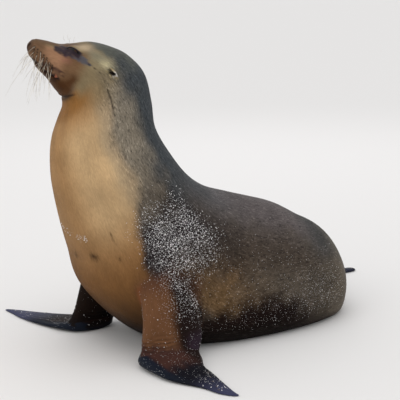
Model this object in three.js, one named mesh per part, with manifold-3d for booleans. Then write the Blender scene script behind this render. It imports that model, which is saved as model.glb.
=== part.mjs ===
// A life-size sea lion sitting up on its belly and fore flippers, head lifted.
// Millimetres, +Z up. It faces -Y, its left side is +X, and it rests on z = 0.
import * as THREE from 'three';
import { mergeVertices } from 'three/addons/utils/BufferGeometryUtils.js';
import Module from 'manifold-3d';

const wasm = await Module();
wasm.setup();

// ---- driving dimensions ----
const GAP = 0.4;              // width of the thin cuts between body parts
const BODY_SIDES = 28;        // sides of a section through head, neck and trunk
const HEAD_PIVOT_Y = -170;    // upright axis about which the head and neck turn
const RUMP_PIVOT_Y = 130;     // upright axis about which the rump turns
const HEAD_TURN = 20;         // degrees the head looks to its right
const EYE_RADIUS = 17;
const EYE_CENTRE = [32.5, -309.5, 713.5]; // left eye, in the head before its turn
const EAR_BASE = [66, -238, 679];          // left ear root and tip, likewise
const EAR_TIP = [82, -212, 659];
const EAR_RADIUS = 6.2;
const NAIL = { length: 13, width: 4.2, height: 3.2 };

// Sections through the body from nose to tail root, each in its own plane across
// the body: top edge (y, z), bottom edge (y, z), half width, height of the widest
// place as a fraction of the way down, roundness above and below it (2 is an
// ellipse, more is squarer), and the turn of the plane about the upright pivot.
const BODY = [
  [-405, 736, -409, 723.5, 8.5, 0.50, 2.0, 2.0, HEAD_TURN],     // 0 nose tip
  [-392, 746, -403.5, 706.5, 22, 0.45, 2.2, 2.1, HEAD_TURN],    // 1 nose pad
  [-366.5, 742.5, -388, 679, 36.5, 0.55, 2.3, 2.3, HEAD_TURN],  // 2 whisker pads
  [-332, 733.5, -365.5, 653.5, 45, 0.55, 2.7, 2.2, HEAD_TURN],  // 3 muzzle root
  [-297, 734, -348.5, 629, 56, 0.50, 3.0, 2.2, HEAD_TURN],      // 4 eyes
  [-259.5, 736.5, -331.5, 607.5, 68, 0.52, 2.7, 2.1, HEAD_TURN], // 5 brow
  [-218, 726.5, -330.5, 577.5, 78, 0.52, 2.3, 2.1, 19],         // 6 ears
  [-175, 705.5, -345, 546.5, 86, 0.52, 2.1, 2.1, 17],           // 7 back of the head
  [-136.5, 663, -359.5, 510, 95, 0.52, 2.1, 2.1, 14],           // 8 top of the neck
  [-123, 602.5, -365.5, 464.5, 110.5, 0.52, 2.1, 2.1, 10],      // 9 middle of the neck
  [-118.5, 540.5, -362, 403.5, 127.5, 0.52, 2.1, 2.1, 6],       // 10 foot of the neck
  [-85.5, 480.5, -343.5, 320.5, 146, 0.54, 2.1, 2.1, 3],        // 11 withers
  [-31.5, 416, -315.5, 237, 163, 0.56, 2.1, 2.2, 1],            // 12 shoulders
  [37, 372, -278.5, 139, 175, 0.58, 2.1, 2.2, 0],               // 13 chest
  [127, 342.5, -146, 16.5, 180, 0.64, 2.1, 2.5, 0],             // 14 fore belly
  [194, 323, -17, -21, 190.5, 0.66, 2.1, 2.7, 0],               // 15 belly
  [263.5, 301, 110.5, -30, 199, 0.66, 2.1, 2.8, -1],            // 16 belly
  [332.5, 265.5, 225, -30, 199, 0.66, 2.1, 2.8, -2],            // 17 loin
  [399.5, 231, 319, -30, 185, 0.66, 2.1, 2.8, -3],              // 18 hips
  [446, 177, 388, -30, 156, 0.66, 2.1, 2.8, -4],                // 19 haunches
  [478, 128, 438, -26, 119, 0.62, 2.1, 2.6, -8],                // 20 rump
  [522, 98, 490, -12, 84, 0.56, 2.1, 2.4, -14],                 // 21 pelvis
  [562, 76, 548, 6, 56, 0.52, 2.1, 2.2, -19],                   // 22 tail root
  [584, 62, 578, 20, 32, 0.50, 2.0, 2.0, -20],                  // 23 between the ankles
];

// Where the body is parted: a node runs between two places counted in the sections.
const BODY_PARTS = [
  ['head', 0, 7.35, 25],
  ['neck', 7.35, 10.6, 8],
  ['chest', 10.6, 13.8, 8],
  ['belly', 13.8, 17.4, 8],
  ['rump', 17.4, 23, 14],
];

// The closed mouth, seen from the side in the head before its turn. The lower jaw
// lies inside this outline: lip line from the front back to the corner, then down
// behind the chin.
const JAW_OUTLINE = [[-440, 728], [-397, 696.5], [-377, 676], [-350, 656], [-330, 642],
  [-318, 624], [-322, 610], [-345, 600], [-460, 596]];

// Limbs: centre x, y, z, half width, half thickness, plan direction of the wide way
// in degrees from +X, and squareness.
const FORELEG_LEFT = [
  [108, -146, 280, 84, 46, 92, 2.1],
  [128, -156, 215, 80, 42, 92, 2.1],
  [148, -163, 155, 78, 38, 92, 2.1],
  [161, -167, 100, 78, 33, 90, 2.1],
  [171, -172, 55, 82, 30, 86, 2.1],
  [181, -183, 22, 80, 30, 83, 2.1],
];
const FORELEG_RIGHT = [
  [-104, -126, 280, 84, 46, 88, 2.1],
  [-122, -136, 215, 80, 42, 88, 2.1],
  [-136, -146, 155, 74, 38, 88, 2.1],
  [-145, -158, 100, 72, 32, 88, 2.1],
  [-154, -171, 55, 71, 28, 92, 2.1],
  [-162, -186, 22, 72, 27, 95, 2.1],
];
const FOREFLIPPER_LEFT = [
  [142, -188, 17, 46, 15, 90, 2.2],
  [158, -190, 17, 74, 20, 90, 2.2],
  [190, -192, 16, 81, 21, 89, 2.2],
  [238, -202, 13, 70, 17, 92, 2.2],
  [280, -212, 10, 56, 13, 94, 2.2],
  [318, -207, 7, 45, 9.5, 95, 2.2],
  [362, -202, 5, 29, 7, 95, 2.2],
  [408, -203, 3.5, 19, 5, 98, 2.2],
  [436, -198, 2.5, 9, 3.5, 110, 2.1],
  [447, -193, 2.0, 3, 2.2, 115, 2.0],
];
const FOREFLIPPER_RIGHT = [
  [-130, -188, 15, 42, 13, 90, 2.2],
  [-146, -192, 15, 64, 17, 92, 2.2],
  [-178, -201, 12, 70, 14, 94, 2.2],
  [-220, -221, 8, 61, 10, 97, 2.2],
  [-260, -240, 6, 51, 7.5, 100, 2.2],
  [-300, -258, 5, 40, 6, 103, 2.2],
  [-340, -272, 4, 29, 5.5, 103, 2.2],
  [-380, -282, 3, 17, 4.2, 100, 2.2],
  [-408, -290, 2.4, 8, 3.2, 98, 2.1],
  [-421, -294, 2.0, 3, 2.2, 98, 2.0],
];
// Hind limbs lie back along the floor and both sweep to the animal's right.
const HIND_LEFT = [
  [-52, 462, 46, 34, 34, 32, 2.2],
  [-70, 502, 40, 36, 31, 34, 2.2],
  [-92, 540, 31, 37, 26, 37, 2.2],
  [-116, 572, 20, 38, 18, 40, 2.2],
  [-148, 603, 12, 42, 12, 41, 2.2],
  [-184, 636, 9, 46, 9, 40, 2.2],
  [-206, 654, 7, 40, 6, 38, 2.2],
];
const HIND_RIGHT = [
  [-118, 432, 46, 34, 34, 38, 2.2],
  [-146, 466, 40, 36, 31, 42, 2.2],
  [-176, 498, 31, 37, 26, 46, 2.2],
  [-208, 525, 20, 38, 18, 51, 2.2],
  [-247, 552, 12, 42, 12, 54, 2.2],
  [-286, 578, 9, 46, 9, 55, 2.2],
  [-308, 592, 7, 40, 6, 55, 2.2],
];
const ANKLE = 2.6;            // place along a hind limb where the flipper begins
// Toes of a hind flipper: place across the foot from its inner side, length past the
// web, half width and splay; the outer two are the longest.
const TOES_LEFT = [
  { across: 0.84, length: 62, width: 14, splay: -42 },
  { across: 0.42, length: 52, width: 12, splay: -12 },
  { across: 0.0, length: 50, width: 12, splay: 0 },
  { across: -0.42, length: 52, width: 12, splay: 8 },
  { across: -0.84, length: 56, width: 15, splay: 12 },
];
const TOES_RIGHT = [
  { across: 0.84, length: 58, width: 15, splay: -10 },
  { across: 0.42, length: 52, width: 12, splay: -7 },
  { across: 0.0, length: 50, width: 12, splay: 0 },
  { across: -0.42, length: 52, width: 12, splay: 8 },
  { across: -0.84, length: 62, width: 15, splay: 18 },
];
const TAIL = [
  [-136, 520, 60, 24, 15, 20, 2],
  [-152, 560, 50, 20, 12, 20, 2],
  [-164, 592, 41, 14, 9, 20, 2],
  [-171, 611, 35, 8, 5.5, 20, 2],
  [-174, 618, 33, 3, 2.4, 20, 2],
];

// ---- shape tools ----
const v3 = (x, y, z) => new THREE.Vector3(x, y, z);

// smooth values between the rows of a table, t counted in rows
function between(rows, t) {
  const last = rows.length - 1;
  const i = Math.min(Math.floor(t), last - 1);
  const f = t - i;
  const p1 = rows[i];
  const p2 = rows[i + 1];
  return p1.map((b, k) => {
    const c = p2[k];
    const a = i > 0 ? rows[i - 1][k] : 2 * b - c;
    const d = i + 2 <= last ? rows[i + 2][k] : 2 * c - b;
    return 0.5 * (2 * b + (c - a) * f + (2 * a - 5 * b + 4 * c - d) * f ** 2
      + (3 * b - a - 3 * c + d) * f ** 3);
  });
}

const power = (value, n) => Math.sign(value) * Math.abs(value) ** (2 / n);

// a point of the body or head, put where the turn of its section takes it
function turned([x, y, z], degrees) {
  const pivot = degrees >= 0 ? HEAD_PIVOT_Y : RUMP_PIVOT_Y;
  const a = THREE.MathUtils.degToRad(degrees);
  const r = y - pivot;
  return v3(x * Math.cos(a) + r * Math.sin(a), pivot - x * Math.sin(a) + r * Math.cos(a), z);
}

// one section of the body; shift moves it along the body, grow widens it
function bodyRing(t, shift, grow, sides) {
  const [dy, dz, vy, vz, w, wide, above, below, turn] = between(BODY, t);
  const depth = Math.hypot(vy - dy, vz - dz);
  const [py, pz] = [(vy - dy) / depth, (vz - dz) / depth];
  const ring = [];
  for (let k = 0; k < sides; k++) {
    const a = (2 * Math.PI * k) / sides;
    const up = Math.sin(a) >= 0;
    const n = up ? above : below;
    const x = (w + grow) * power(Math.cos(a), n);
    const reach = (up ? wide * depth : (1 - wide) * depth) + grow;
    const s = wide * depth - reach * power(Math.sin(a), n);
    ring.push(turned([x, dy + py * s - pz * shift, dz + pz * s + py * shift], turn));
  }
  return ring;
}

// closed surface through rings of points, with flat ends
function tube(rings) {
  const sides = rings[0].length;
  const points = rings.flat();
  const index = [];
  for (let i = 0; i + 1 < rings.length; i++) {
    for (let j = 0; j < sides; j++) {
      const a = i * sides + j;
      const b = i * sides + ((j + 1) % sides);
      index.push(a, a + sides, b + sides, a, b + sides, b);
    }
  }
  for (const end of [0, rings.length - 1]) {
    const middle = rings[end].reduce((s, p) => s.add(p), v3(0, 0, 0)).divideScalar(sides);
    points.push(middle);
    for (let j = 0; j < sides; j++) {
      const a = end * sides + j;
      const b = end * sides + ((j + 1) % sides);
      if (end === 0) index.push(points.length - 1, a, b);
      else index.push(points.length - 1, b, a);
    }
  }
  const geometry = new THREE.BufferGeometry();
  geometry.setAttribute('position',
    new THREE.Float32BufferAttribute(points.flatMap((p) => [p.x, p.y, p.z]), 3));
  geometry.setIndex(index);
  return geometry;
}

// three geometry to solid and back
function solid(geometry) {
  const bare = geometry.clone();
  bare.deleteAttribute('normal');
  bare.deleteAttribute('uv');
  const merged = mergeVertices(bare, 1e-4);
  return new wasm.Manifold(new wasm.Mesh({
    numProp: 3,
    vertProperties: new Float32Array(merged.attributes.position.array),
    triVerts: new Uint32Array(merged.index.array),
  }));
}

function surface(shape) {
  const mesh = shape.getMesh();
  const geometry = new THREE.BufferGeometry();
  geometry.setAttribute('position', new THREE.BufferAttribute(mesh.vertProperties, 3));
  geometry.setIndex(new THREE.BufferAttribute(mesh.triVerts, 1));
  geometry.computeVertexNormals();
  return geometry;
}

const spread = (from, to, count) =>
  Array.from({ length: count + 1 }, (_, i) => from + ((to - from) * i) / count);

// the body through the given places, its ends drawn in by gapFrom and gapTo
function bodyLength(places, gapFrom, gapTo, grow = 0) {
  return solid(tube(places.map((t, i) => bodyRing(t,
    i === 0 ? gapFrom : i === places.length - 1 ? -gapTo : 0, grow, BODY_SIDES))));
}

// a limb between two places of its table; grow swells it all round
function limb(rows, { from = 0, to = rows.length - 1, steps, sides,
  gapFrom = 0, gapTo = 0, grow = 0 } = {}) {
  const rings = [];
  for (let i = 0; i <= steps; i++) {
    const t = from + ((to - from) * i) / steps;
    const [x, y, z, width, thick, plan, n] = between(rows, t);
    const ahead = between(rows, Math.min(t + 0.05, rows.length - 1));
    const behind = between(rows, Math.max(t - 0.05, 0));
    const along = v3(ahead[0] - behind[0], ahead[1] - behind[1], ahead[2] - behind[2])
      .normalize();
    const a = THREE.MathUtils.degToRad(plan);
    const wide = v3(Math.cos(a), Math.sin(a), 0);
    const over = v3(0, 0, 0).crossVectors(wide, along).normalize();
    const centre = v3(x, y, z);
    if (i === 0) centre.addScaledVector(along, gapFrom - grow);
    if (i === steps) centre.addScaledVector(along, grow - gapTo);
    const ring = [];
    for (let k = 0; k < sides; k++) {
      const b = (2 * Math.PI * k) / sides;
      ring.push(centre.clone()
        .addScaledVector(wide, (width + grow) * power(Math.cos(b), n))
        .addScaledVector(over, (thick + grow) * power(Math.sin(b), n)));
    }
    rings.push(ring);
  }
  return solid(tube(rings));
}

const FLOOR_SIZE = 4000;
const aboveFloor = solid(new THREE.BoxGeometry(FLOOR_SIZE, FLOOR_SIZE, FLOOR_SIZE)
  .translate(0, 0, FLOOR_SIZE / 2));

// ---- head, neck and trunk ----
const bodies = {};
for (const [name, from, to, count] of BODY_PARTS) {
  bodies[name] = bodyLength(spread(from, to, count), from > 0 ? GAP / 2 : 0,
    to < BODY.length - 1 ? GAP / 2 : 0).intersect(aboveFloor);
}
const allPlaces = BODY_PARTS.flatMap(([, from, to, count], i) =>
  spread(from, to, count).slice(i > 0 ? 1 : 0));
const grownBody = bodyLength(allPlaces, -GAP, -GAP, 1.5 * GAP);

// the outline of the jaw as an upright wall, swelled outward by a given amount
function jawBlock(swell) {
  const corners = JAW_OUTLINE.map(([y, z]) => new THREE.Vector2(y, z));
  const moved = corners.map((p, i) => {
    const before = corners[(i + corners.length - 1) % corners.length];
    const after = corners[(i + 1) % corners.length];
    const n1 = p.clone().sub(before).normalize();
    const n2 = after.clone().sub(p).normalize();
    const out = new THREE.Vector2(-n1.y - n2.y, n1.x + n2.x).normalize();
    const stretch = 1 / Math.max(0.4, out.dot(new THREE.Vector2(-n1.y, n1.x)));
    return p.clone().addScaledVector(out, swell * stretch);
  });
  const block = new THREE.ExtrudeGeometry(new THREE.Shape(moved),
    { depth: 300, bevelEnabled: false });
  // the shape's x, y and depth become the head's y, z and x
  block.applyMatrix4(new THREE.Matrix4().set(
    0, 0, 1, -150,
    1, 0, 0, 0,
    0, 1, 0, 0,
    0, 0, 0, 1));
  const place = block.attributes.position;
  for (let i = 0; i < place.count; i++) {
    const p = turned([place.getX(i), place.getY(i), place.getZ(i)], HEAD_TURN);
    place.setXYZ(i, p.x, p.y, p.z);
  }
  return solid(block);
}

const wholeHead = bodies.head;
bodies.lower_jaw = wholeHead.intersect(jawBlock(0));
bodies.head = wholeHead.subtract(jawBlock(GAP));

// ---- eyes ----
function ball(radius, side) {
  const centre = turned([side * EYE_CENTRE[0], EYE_CENTRE[1], EYE_CENTRE[2]], HEAD_TURN);
  return solid(new THREE.SphereGeometry(radius, 16, 10).rotateZ(0.3)
    .translate(centre.x, centre.y, centre.z));
}
const eyes = {};
for (const [name, side] of [['eye_left', 1], ['eye_right', -1]]) {
  eyes[name] = ball(EYE_RADIUS, side);
  bodies.head = bodies.head.subtract(ball(EYE_RADIUS + GAP, side));
}

// ---- ears: small rolled cones that point back and down ----
function ear(side) {
  const rings = [];
  const base = turned([side * EAR_BASE[0], EAR_BASE[1], EAR_BASE[2]], HEAD_TURN);
  const tip = turned([side * EAR_TIP[0], EAR_TIP[1], EAR_TIP[2]], HEAD_TURN);
  const along = tip.clone().sub(base).normalize();
  const across = v3(0, 0, 1).cross(along).normalize();
  const over = v3(0, 0, 0).crossVectors(across, along).normalize();
  const profile = [[0, 0.8], [0.2, 0.95], [0.45, 1], [0.65, 0.86], [0.82, 0.6], [0.94, 0.34],
    [1, 0.12]];
  for (const [at, size] of profile) {
    const centre = base.clone().lerp(tip, at);
    rings.push(Array.from({ length: 12 }, (_, k) => {
      const a = (2 * Math.PI * k) / 12;
      return centre.clone().addScaledVector(across, 0.72 * EAR_RADIUS * size * Math.cos(a))
        .addScaledVector(over, EAR_RADIUS * size * Math.sin(a));
    }));
  }
  return solid(tube(rings)).subtract(grownBody);
}

// ---- fore limbs ----
const limbs = {};
for (const [side, leg, flipper] of [['left', FORELEG_LEFT, FOREFLIPPER_LEFT],
  ['right', FORELEG_RIGHT, FOREFLIPPER_RIGHT]]) {
  limbs[`foreflipper_${side}`] = limb(flipper, { steps: 14, sides: 16 })
    .intersect(aboveFloor).subtract(grownBody);
  limbs[`foreleg_${side}`] = limb(leg, { steps: 9, sides: 16 })
    .subtract(grownBody)
    .subtract(limb(flipper, { steps: 14, sides: 16, grow: 1.5 * GAP }))
    .intersect(aboveFloor);
}

// ---- hind limbs, each flipper with five toe flaps and three nails ----
function hindFlipper(rows, toes, from) {
  const last = rows.length - 1;
  let shape = limb(rows, { from, steps: 7, sides: 14, gapFrom: GAP / 2 });
  const [x, y, z, width, , plan] = rows[last - 1];
  const a = THREE.MathUtils.degToRad(plan);
  const wide = v3(Math.cos(a), Math.sin(a), 0);
  for (const [i, toe] of toes.entries()) {
    const root = v3(x, y, z).addScaledVector(wide, toe.across * (width - toe.width * 0.8));
    const heading = a + Math.PI / 2 + THREE.MathUtils.degToRad(toe.splay);
    const along = v3(Math.cos(heading), Math.sin(heading), 0);
    const toeRows = [[-18, 0.9, 7], [10, 1, 7], [0.55, 1.05, 6], [0.85, 0.9, 5], [1, 0.45, 3.4]]
      .map(([at, size, thick], k) => {
        const reach = k < 2 ? at : 22 + at * toe.length;
        const p = root.clone().addScaledVector(along, reach);
        return [p.x, p.y, thick * 0.8, toe.width * size, thick,
          THREE.MathUtils.radToDeg(heading) - 90, 2.2];
      });
    shape = shape.add(limb(toeRows, { steps: 5, sides: 8 }));
    if (i > 0 && i < 4) {
      const at = root.clone().addScaledVector(along, 34);
      const nail = new THREE.SphereGeometry(1, 8, 6);
      nail.scale(NAIL.length / 2, NAIL.width / 2, NAIL.height).rotateZ(heading)
        .translate(at.x, at.y, 9.5);
      shape = shape.add(solid(nail));
    }
  }
  return shape.intersect(aboveFloor);
}
for (const [side, rows, toes] of [['left', HIND_LEFT, TOES_LEFT],
  ['right', HIND_RIGHT, TOES_RIGHT]]) {
  limbs[`hindleg_${side}`] = limb(rows, { to: ANKLE, steps: 5, sides: 14, gapTo: GAP / 2 })
    .subtract(grownBody).intersect(aboveFloor);
  limbs[`hindflipper_${side}`] = hindFlipper(rows, toes, ANKLE).subtract(grownBody);
}
limbs.tail = limb(TAIL, { steps: 6, sides: 10 }).subtract(grownBody);

// ---- colours and nodes ----
const COAT = {
  head: 0x6d5a42, lower_jaw: 0x5a4632, neck: 0x77684f, chest: 0x7d6548, belly: 0x4d463c,
  rump: 0x463f37, tail: 0x3a3530, ear_left: 0x3c3733, ear_right: 0x3c3733,
  foreleg_left: 0x4a352a, foreleg_right: 0x3b2b24, hindleg_left: 0x3d332c,
  hindleg_right: 0x3d332c,
};
const SKIN = 0x3b3d4c;
const group = new THREE.Group();
group.name = 'sea_lion';

function node(name, geometry, color, roughness) {
  const mesh = new THREE.Mesh(geometry,
    new THREE.MeshStandardMaterial({ color, roughness, metalness: 0 }));
  mesh.name = name;
  group.add(mesh);
}

for (const [name, shape] of Object.entries(bodies)) node(name, surface(shape), COAT[name], 0.6);
for (const [name, shape] of Object.entries(eyes)) node(name, surface(shape), 0x14100e, 0.1);
node('ear_left', surface(ear(1)), COAT.ear_left, 0.6);
node('ear_right', surface(ear(-1)), COAT.ear_right, 0.6);
for (const [name, shape] of Object.entries(limbs)) {
  node(name, surface(shape), COAT[name] ?? SKIN, name.includes('flipper') ? 0.45 : 0.6);
}

// the frame's origin is the middle of the box round the animal, on the floor
const box = new THREE.Box3().setFromObject(group);
const middle = box.getCenter(v3(0, 0, 0));
for (const mesh of group.children) mesh.geometry.translate(-middle.x, -middle.y, 0);

export default group;
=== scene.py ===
"""A life-size sea lion sitting up on its belly and fore flippers: skin, coat and looks.

Lengths in the tables are millimetres, everything else is metres. The animal faces -Y, its left
side is +X and it rests on z = 0.
"""
import math

import bmesh
import bpy
import numpy as np
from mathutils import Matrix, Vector, kdtree


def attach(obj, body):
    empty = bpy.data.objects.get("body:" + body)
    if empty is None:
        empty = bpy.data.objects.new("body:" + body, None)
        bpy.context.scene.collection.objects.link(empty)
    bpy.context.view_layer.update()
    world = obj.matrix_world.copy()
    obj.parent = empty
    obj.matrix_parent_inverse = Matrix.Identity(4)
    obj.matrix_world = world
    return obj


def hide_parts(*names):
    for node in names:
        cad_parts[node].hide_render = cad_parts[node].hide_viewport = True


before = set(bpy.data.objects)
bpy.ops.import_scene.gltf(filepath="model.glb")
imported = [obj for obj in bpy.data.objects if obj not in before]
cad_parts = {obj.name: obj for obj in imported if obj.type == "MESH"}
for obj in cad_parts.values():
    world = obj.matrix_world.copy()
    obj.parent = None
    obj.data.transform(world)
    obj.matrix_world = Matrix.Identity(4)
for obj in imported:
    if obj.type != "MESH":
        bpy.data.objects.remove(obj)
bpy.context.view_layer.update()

# ---------------------------------------------------------------- sizes
MM = 0.001
ORIGIN = np.array([13.425, 171.548, 0.0])   # where the tables' origin lies from the frame's
HEAD_PIVOT_Y = -170.0                       # upright axis about which head and neck turn
RUMP_PIVOT_Y = 130.0                        # upright axis about which the rump turns
HEAD_TURN = 20.0
COAT_DEPTH = 1.3                            # fur outside the skin, mm
VOXEL = 2.6 * MM
FLOOR_GAP = 0.5                             # mm
SKIN_TRIANGLES = 176000

EAR_BASE = np.array([70.0, -239.0, 680.0])
EAR_TIP = np.array([89.0, -217.5, 661.0])
EAR_HOLE = np.array([78.0, -234.0, 673.0])
EAR_RADIUS = 5.6

# Sections from nose to tail root: top edge (y, z), bottom edge (y, z), half width, height of the
# widest place as a fraction of the way down, roundness above and below it, turn of the section.
BODY = np.array([
    [-405, 736, -409, 723.5, 8.5, 0.50, 2.0, 2.0, HEAD_TURN],      # nose tip
    [-392, 746, -403.5, 706.5, 22, 0.45, 2.2, 2.1, HEAD_TURN],     # nose pad
    [-366.5, 742.5, -388, 679, 36.5, 0.55, 2.3, 2.3, HEAD_TURN],   # whisker pads
    [-332, 733.5, -365.5, 653.5, 45, 0.55, 2.7, 2.2, HEAD_TURN],   # muzzle root
    [-297, 734, -348.5, 629, 56, 0.50, 3.0, 2.2, HEAD_TURN],       # eyes
    [-259.5, 736.5, -331.5, 607.5, 68, 0.52, 2.7, 2.1, HEAD_TURN],  # brow
    [-218, 726.5, -330.5, 577.5, 78, 0.52, 2.3, 2.1, 19],          # ears
    [-175, 705.5, -345, 546.5, 86, 0.52, 2.1, 2.1, 17],            # back of the head
    [-136.5, 663, -359.5, 510, 95, 0.52, 2.1, 2.1, 14],            # top of the neck
    [-123, 602.5, -365.5, 464.5, 110.5, 0.52, 2.1, 2.1, 10],       # middle of the neck
    [-118.5, 540.5, -362, 403.5, 127.5, 0.52, 2.1, 2.1, 6],        # foot of the neck
    [-85.5, 480.5, -343.5, 320.5, 146, 0.54, 2.1, 2.1, 3],         # withers
    [-31.5, 416, -315.5, 237, 163, 0.56, 2.1, 2.2, 1],             # shoulders
    [37, 372, -278.5, 139, 175, 0.58, 2.1, 2.2, 0],                # chest
    [127, 342.5, -146, 16.5, 180, 0.64, 2.1, 2.5, 0],              # fore belly
    [194, 323, -17, -21, 190.5, 0.66, 2.1, 2.7, 0],                # belly
    [263.5, 301, 110.5, -30, 199, 0.66, 2.1, 2.8, -1],             # belly
    [332.5, 265.5, 225, -30, 199, 0.66, 2.1, 2.8, -2],             # loin
    [399.5, 231, 319, -30, 185, 0.66, 2.1, 2.8, -3],               # hips
    [446, 177, 388, -30, 156, 0.66, 2.1, 2.8, -4],                 # haunches
    [478, 128, 438, -26, 119, 0.62, 2.1, 2.6, -8],                 # rump
    [522, 98, 490, -12, 84, 0.56, 2.1, 2.4, -14],                  # pelvis
    [562, 76, 548, 6, 56, 0.52, 2.1, 2.2, -19],                    # tail root
    [584, 62, 578, 20, 32, 0.50, 2.0, 2.0, -20],                   # between the ankles
], float)

# Limbs: centre x, y, z, half width, half thickness, plan direction of the wide way, squareness.
FORELEG_LEFT = [
    [108, -146, 280, 84, 46, 92, 2.1], [128, -156, 215, 80, 42, 92, 2.1],
    [148, -163, 155, 78, 38, 92, 2.1], [161, -167, 100, 78, 33, 90, 2.1],
    [171, -172, 55, 82, 30, 86, 2.1], [181, -183, 22, 80, 30, 83, 2.1]]
FORELEG_RIGHT = [
    [-104, -126, 280, 84, 46, 88, 2.1], [-122, -136, 215, 80, 42, 88, 2.1],
    [-136, -146, 155, 74, 38, 88, 2.1], [-145, -158, 100, 72, 32, 88, 2.1],
    [-154, -171, 55, 71, 28, 92, 2.1], [-162, -186, 22, 72, 27, 95, 2.1]]
FOREFLIPPER_LEFT = [
    [142, -188, 17, 46, 15, 90, 2.2], [158, -190, 17, 74, 20, 90, 2.2],
    [190, -192, 16, 81, 21, 89, 2.2], [238, -202, 13, 70, 17, 92, 2.2],
    [280, -212, 10, 56, 13, 94, 2.2], [318, -207, 7, 45, 9.5, 95, 2.2],
    [362, -202, 5, 29, 7, 95, 2.2], [408, -203, 3.5, 19, 5, 98, 2.2],
    [436, -198, 2.5, 9, 3.5, 110, 2.1], [447, -193, 2.0, 3, 2.2, 115, 2.0]]
FOREFLIPPER_RIGHT = [
    [-130, -188, 15, 42, 13, 90, 2.2], [-146, -192, 15, 64, 17, 92, 2.2],
    [-178, -201, 12, 70, 14, 94, 2.2], [-220, -221, 8, 61, 10, 97, 2.2],
    [-260, -240, 6, 51, 7.5, 100, 2.2], [-300, -258, 5, 40, 6, 103, 2.2],
    [-340, -272, 4, 29, 5.5, 103, 2.2], [-380, -282, 3, 17, 4.2, 100, 2.2],
    [-408, -290, 2.4, 8, 3.2, 98, 2.1], [-421, -294, 2.0, 3, 2.2, 98, 2.0]]
HIND_LEFT = [
    [-52, 462, 46, 34, 34, 32, 2.2], [-70, 502, 40, 36, 31, 34, 2.2],
    [-92, 540, 31, 37, 26, 37, 2.2], [-116, 572, 20, 38, 18, 40, 2.2],
    [-148, 603, 12, 42, 12, 41, 2.2], [-184, 636, 9, 46, 9, 40, 2.2],
    [-206, 654, 7, 40, 6, 38, 2.2]]
HIND_RIGHT = [
    [-118, 432, 46, 34, 34, 38, 2.2], [-146, 466, 40, 36, 31, 42, 2.2],
    [-176, 498, 31, 37, 26, 46, 2.2], [-208, 525, 20, 38, 18, 51, 2.2],
    [-247, 552, 12, 42, 12, 54, 2.2], [-286, 578, 9, 46, 9, 55, 2.2],
    [-308, 592, 7, 40, 6, 55, 2.2]]
# Toes: place across the foot, length past the web, half width, splay in degrees.
TOES_LEFT = [(0.84, 62, 14, -42), (0.42, 52, 12, -12), (0.0, 50, 12, 0), (-0.42, 52, 12, 8),
             (-0.84, 56, 15, 12)]
TOES_RIGHT = [(0.84, 58, 15, -10), (0.42, 52, 12, -7), (0.0, 50, 12, 0), (-0.42, 52, 12, 8),
              (-0.84, 62, 15, 18)]
TAIL = [
    [-136, 520, 60, 24, 15, 20, 2], [-152, 560, 50, 20, 12, 20, 2], [-164, 592, 41, 14, 9, 20, 2],
    [-171, 611, 35, 8, 5.5, 20, 2], [-174, 618, 33, 3, 2.4, 20, 2]]


# ---------------------------------------------------------------- shape of body and limbs
def between(rows, t):
    """Smooth values between the rows of a table, t counted in rows."""
    rows, t = np.asarray(rows, float), np.asarray(t, float)
    last = len(rows) - 1
    i = np.clip(np.floor(t).astype(int), 0, last - 1)
    f = (t - i)[..., None]
    b, c = rows[i], rows[i + 1]
    a = np.where((i > 0)[..., None], rows[np.maximum(i - 1, 0)], 2 * b - c)
    d = np.where((i + 2 <= last)[..., None], rows[np.minimum(i + 2, last)], 2 * c - b)
    return 0.5 * (2 * b + (c - a) * f + (2 * a - 5 * b + 4 * c - d) * f ** 2
                  + (3 * b - a - 3 * c + d) * f ** 3)


# Which side of each flipper's sections faces up.
UP_SIDE = {"foreflipper_left": -1, "foreflipper_right": 1, "hind_left": 1, "hind_right": 1}


def power(value, n):
    return np.sign(value) * np.abs(value) ** (2 / n)


def body_surface(t, angle, inset=0.0):
    """Points on head, neck and trunk: t counts the sections, angle goes left, up, right, down."""
    dy, dz, vy, vz, w, wide, above, below, turn = np.moveaxis(between(BODY, t), -1, 0)
    depth = np.hypot(vy - dy, vz - dz)
    up = np.sin(angle) >= 0
    n = np.where(up, above, below)
    x = (w - inset) * power(np.cos(angle), n)
    s = wide * depth - (np.where(up, wide, 1 - wide) * depth - inset) * power(np.sin(angle), n)
    y, z = dy + (vy - dy) / depth * s, dz + (vz - dz) / depth * s
    pivot = np.where(turn >= 0, HEAD_PIVOT_Y, RUMP_PIVOT_Y)
    cos, sin = np.cos(np.radians(turn)), np.sin(np.radians(turn))
    place = np.stack([x * cos + (y - pivot) * sin, pivot - x * sin + (y - pivot) * cos, z], -1)
    return (place - ORIGIN) * MM


def limb_surface(rows, t, angle, inset=0.0):
    """Points on a limb: t counts its sections from the body out."""
    row = between(rows, t)
    last = len(rows) - 1
    along = (between(rows, np.minimum(t + 0.05, last)) - between(rows, np.maximum(t - 0.05, 0)))
    along = along[..., :3] / np.linalg.norm(along[..., :3], axis=-1, keepdims=True)
    plan = np.radians(row[..., 5])
    wide = np.stack([np.cos(plan), np.sin(plan), 0 * plan], -1)
    over = np.cross(wide, along)
    over /= np.linalg.norm(over, axis=-1, keepdims=True)
    n = row[..., 6]
    place = (row[..., :3]
             + wide * ((row[..., 3] - inset) * power(np.cos(angle), n))[..., None]
             + over * ((row[..., 4] - inset) * power(np.sin(angle), n))[..., None])
    return (place - ORIGIN) * MM


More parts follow.
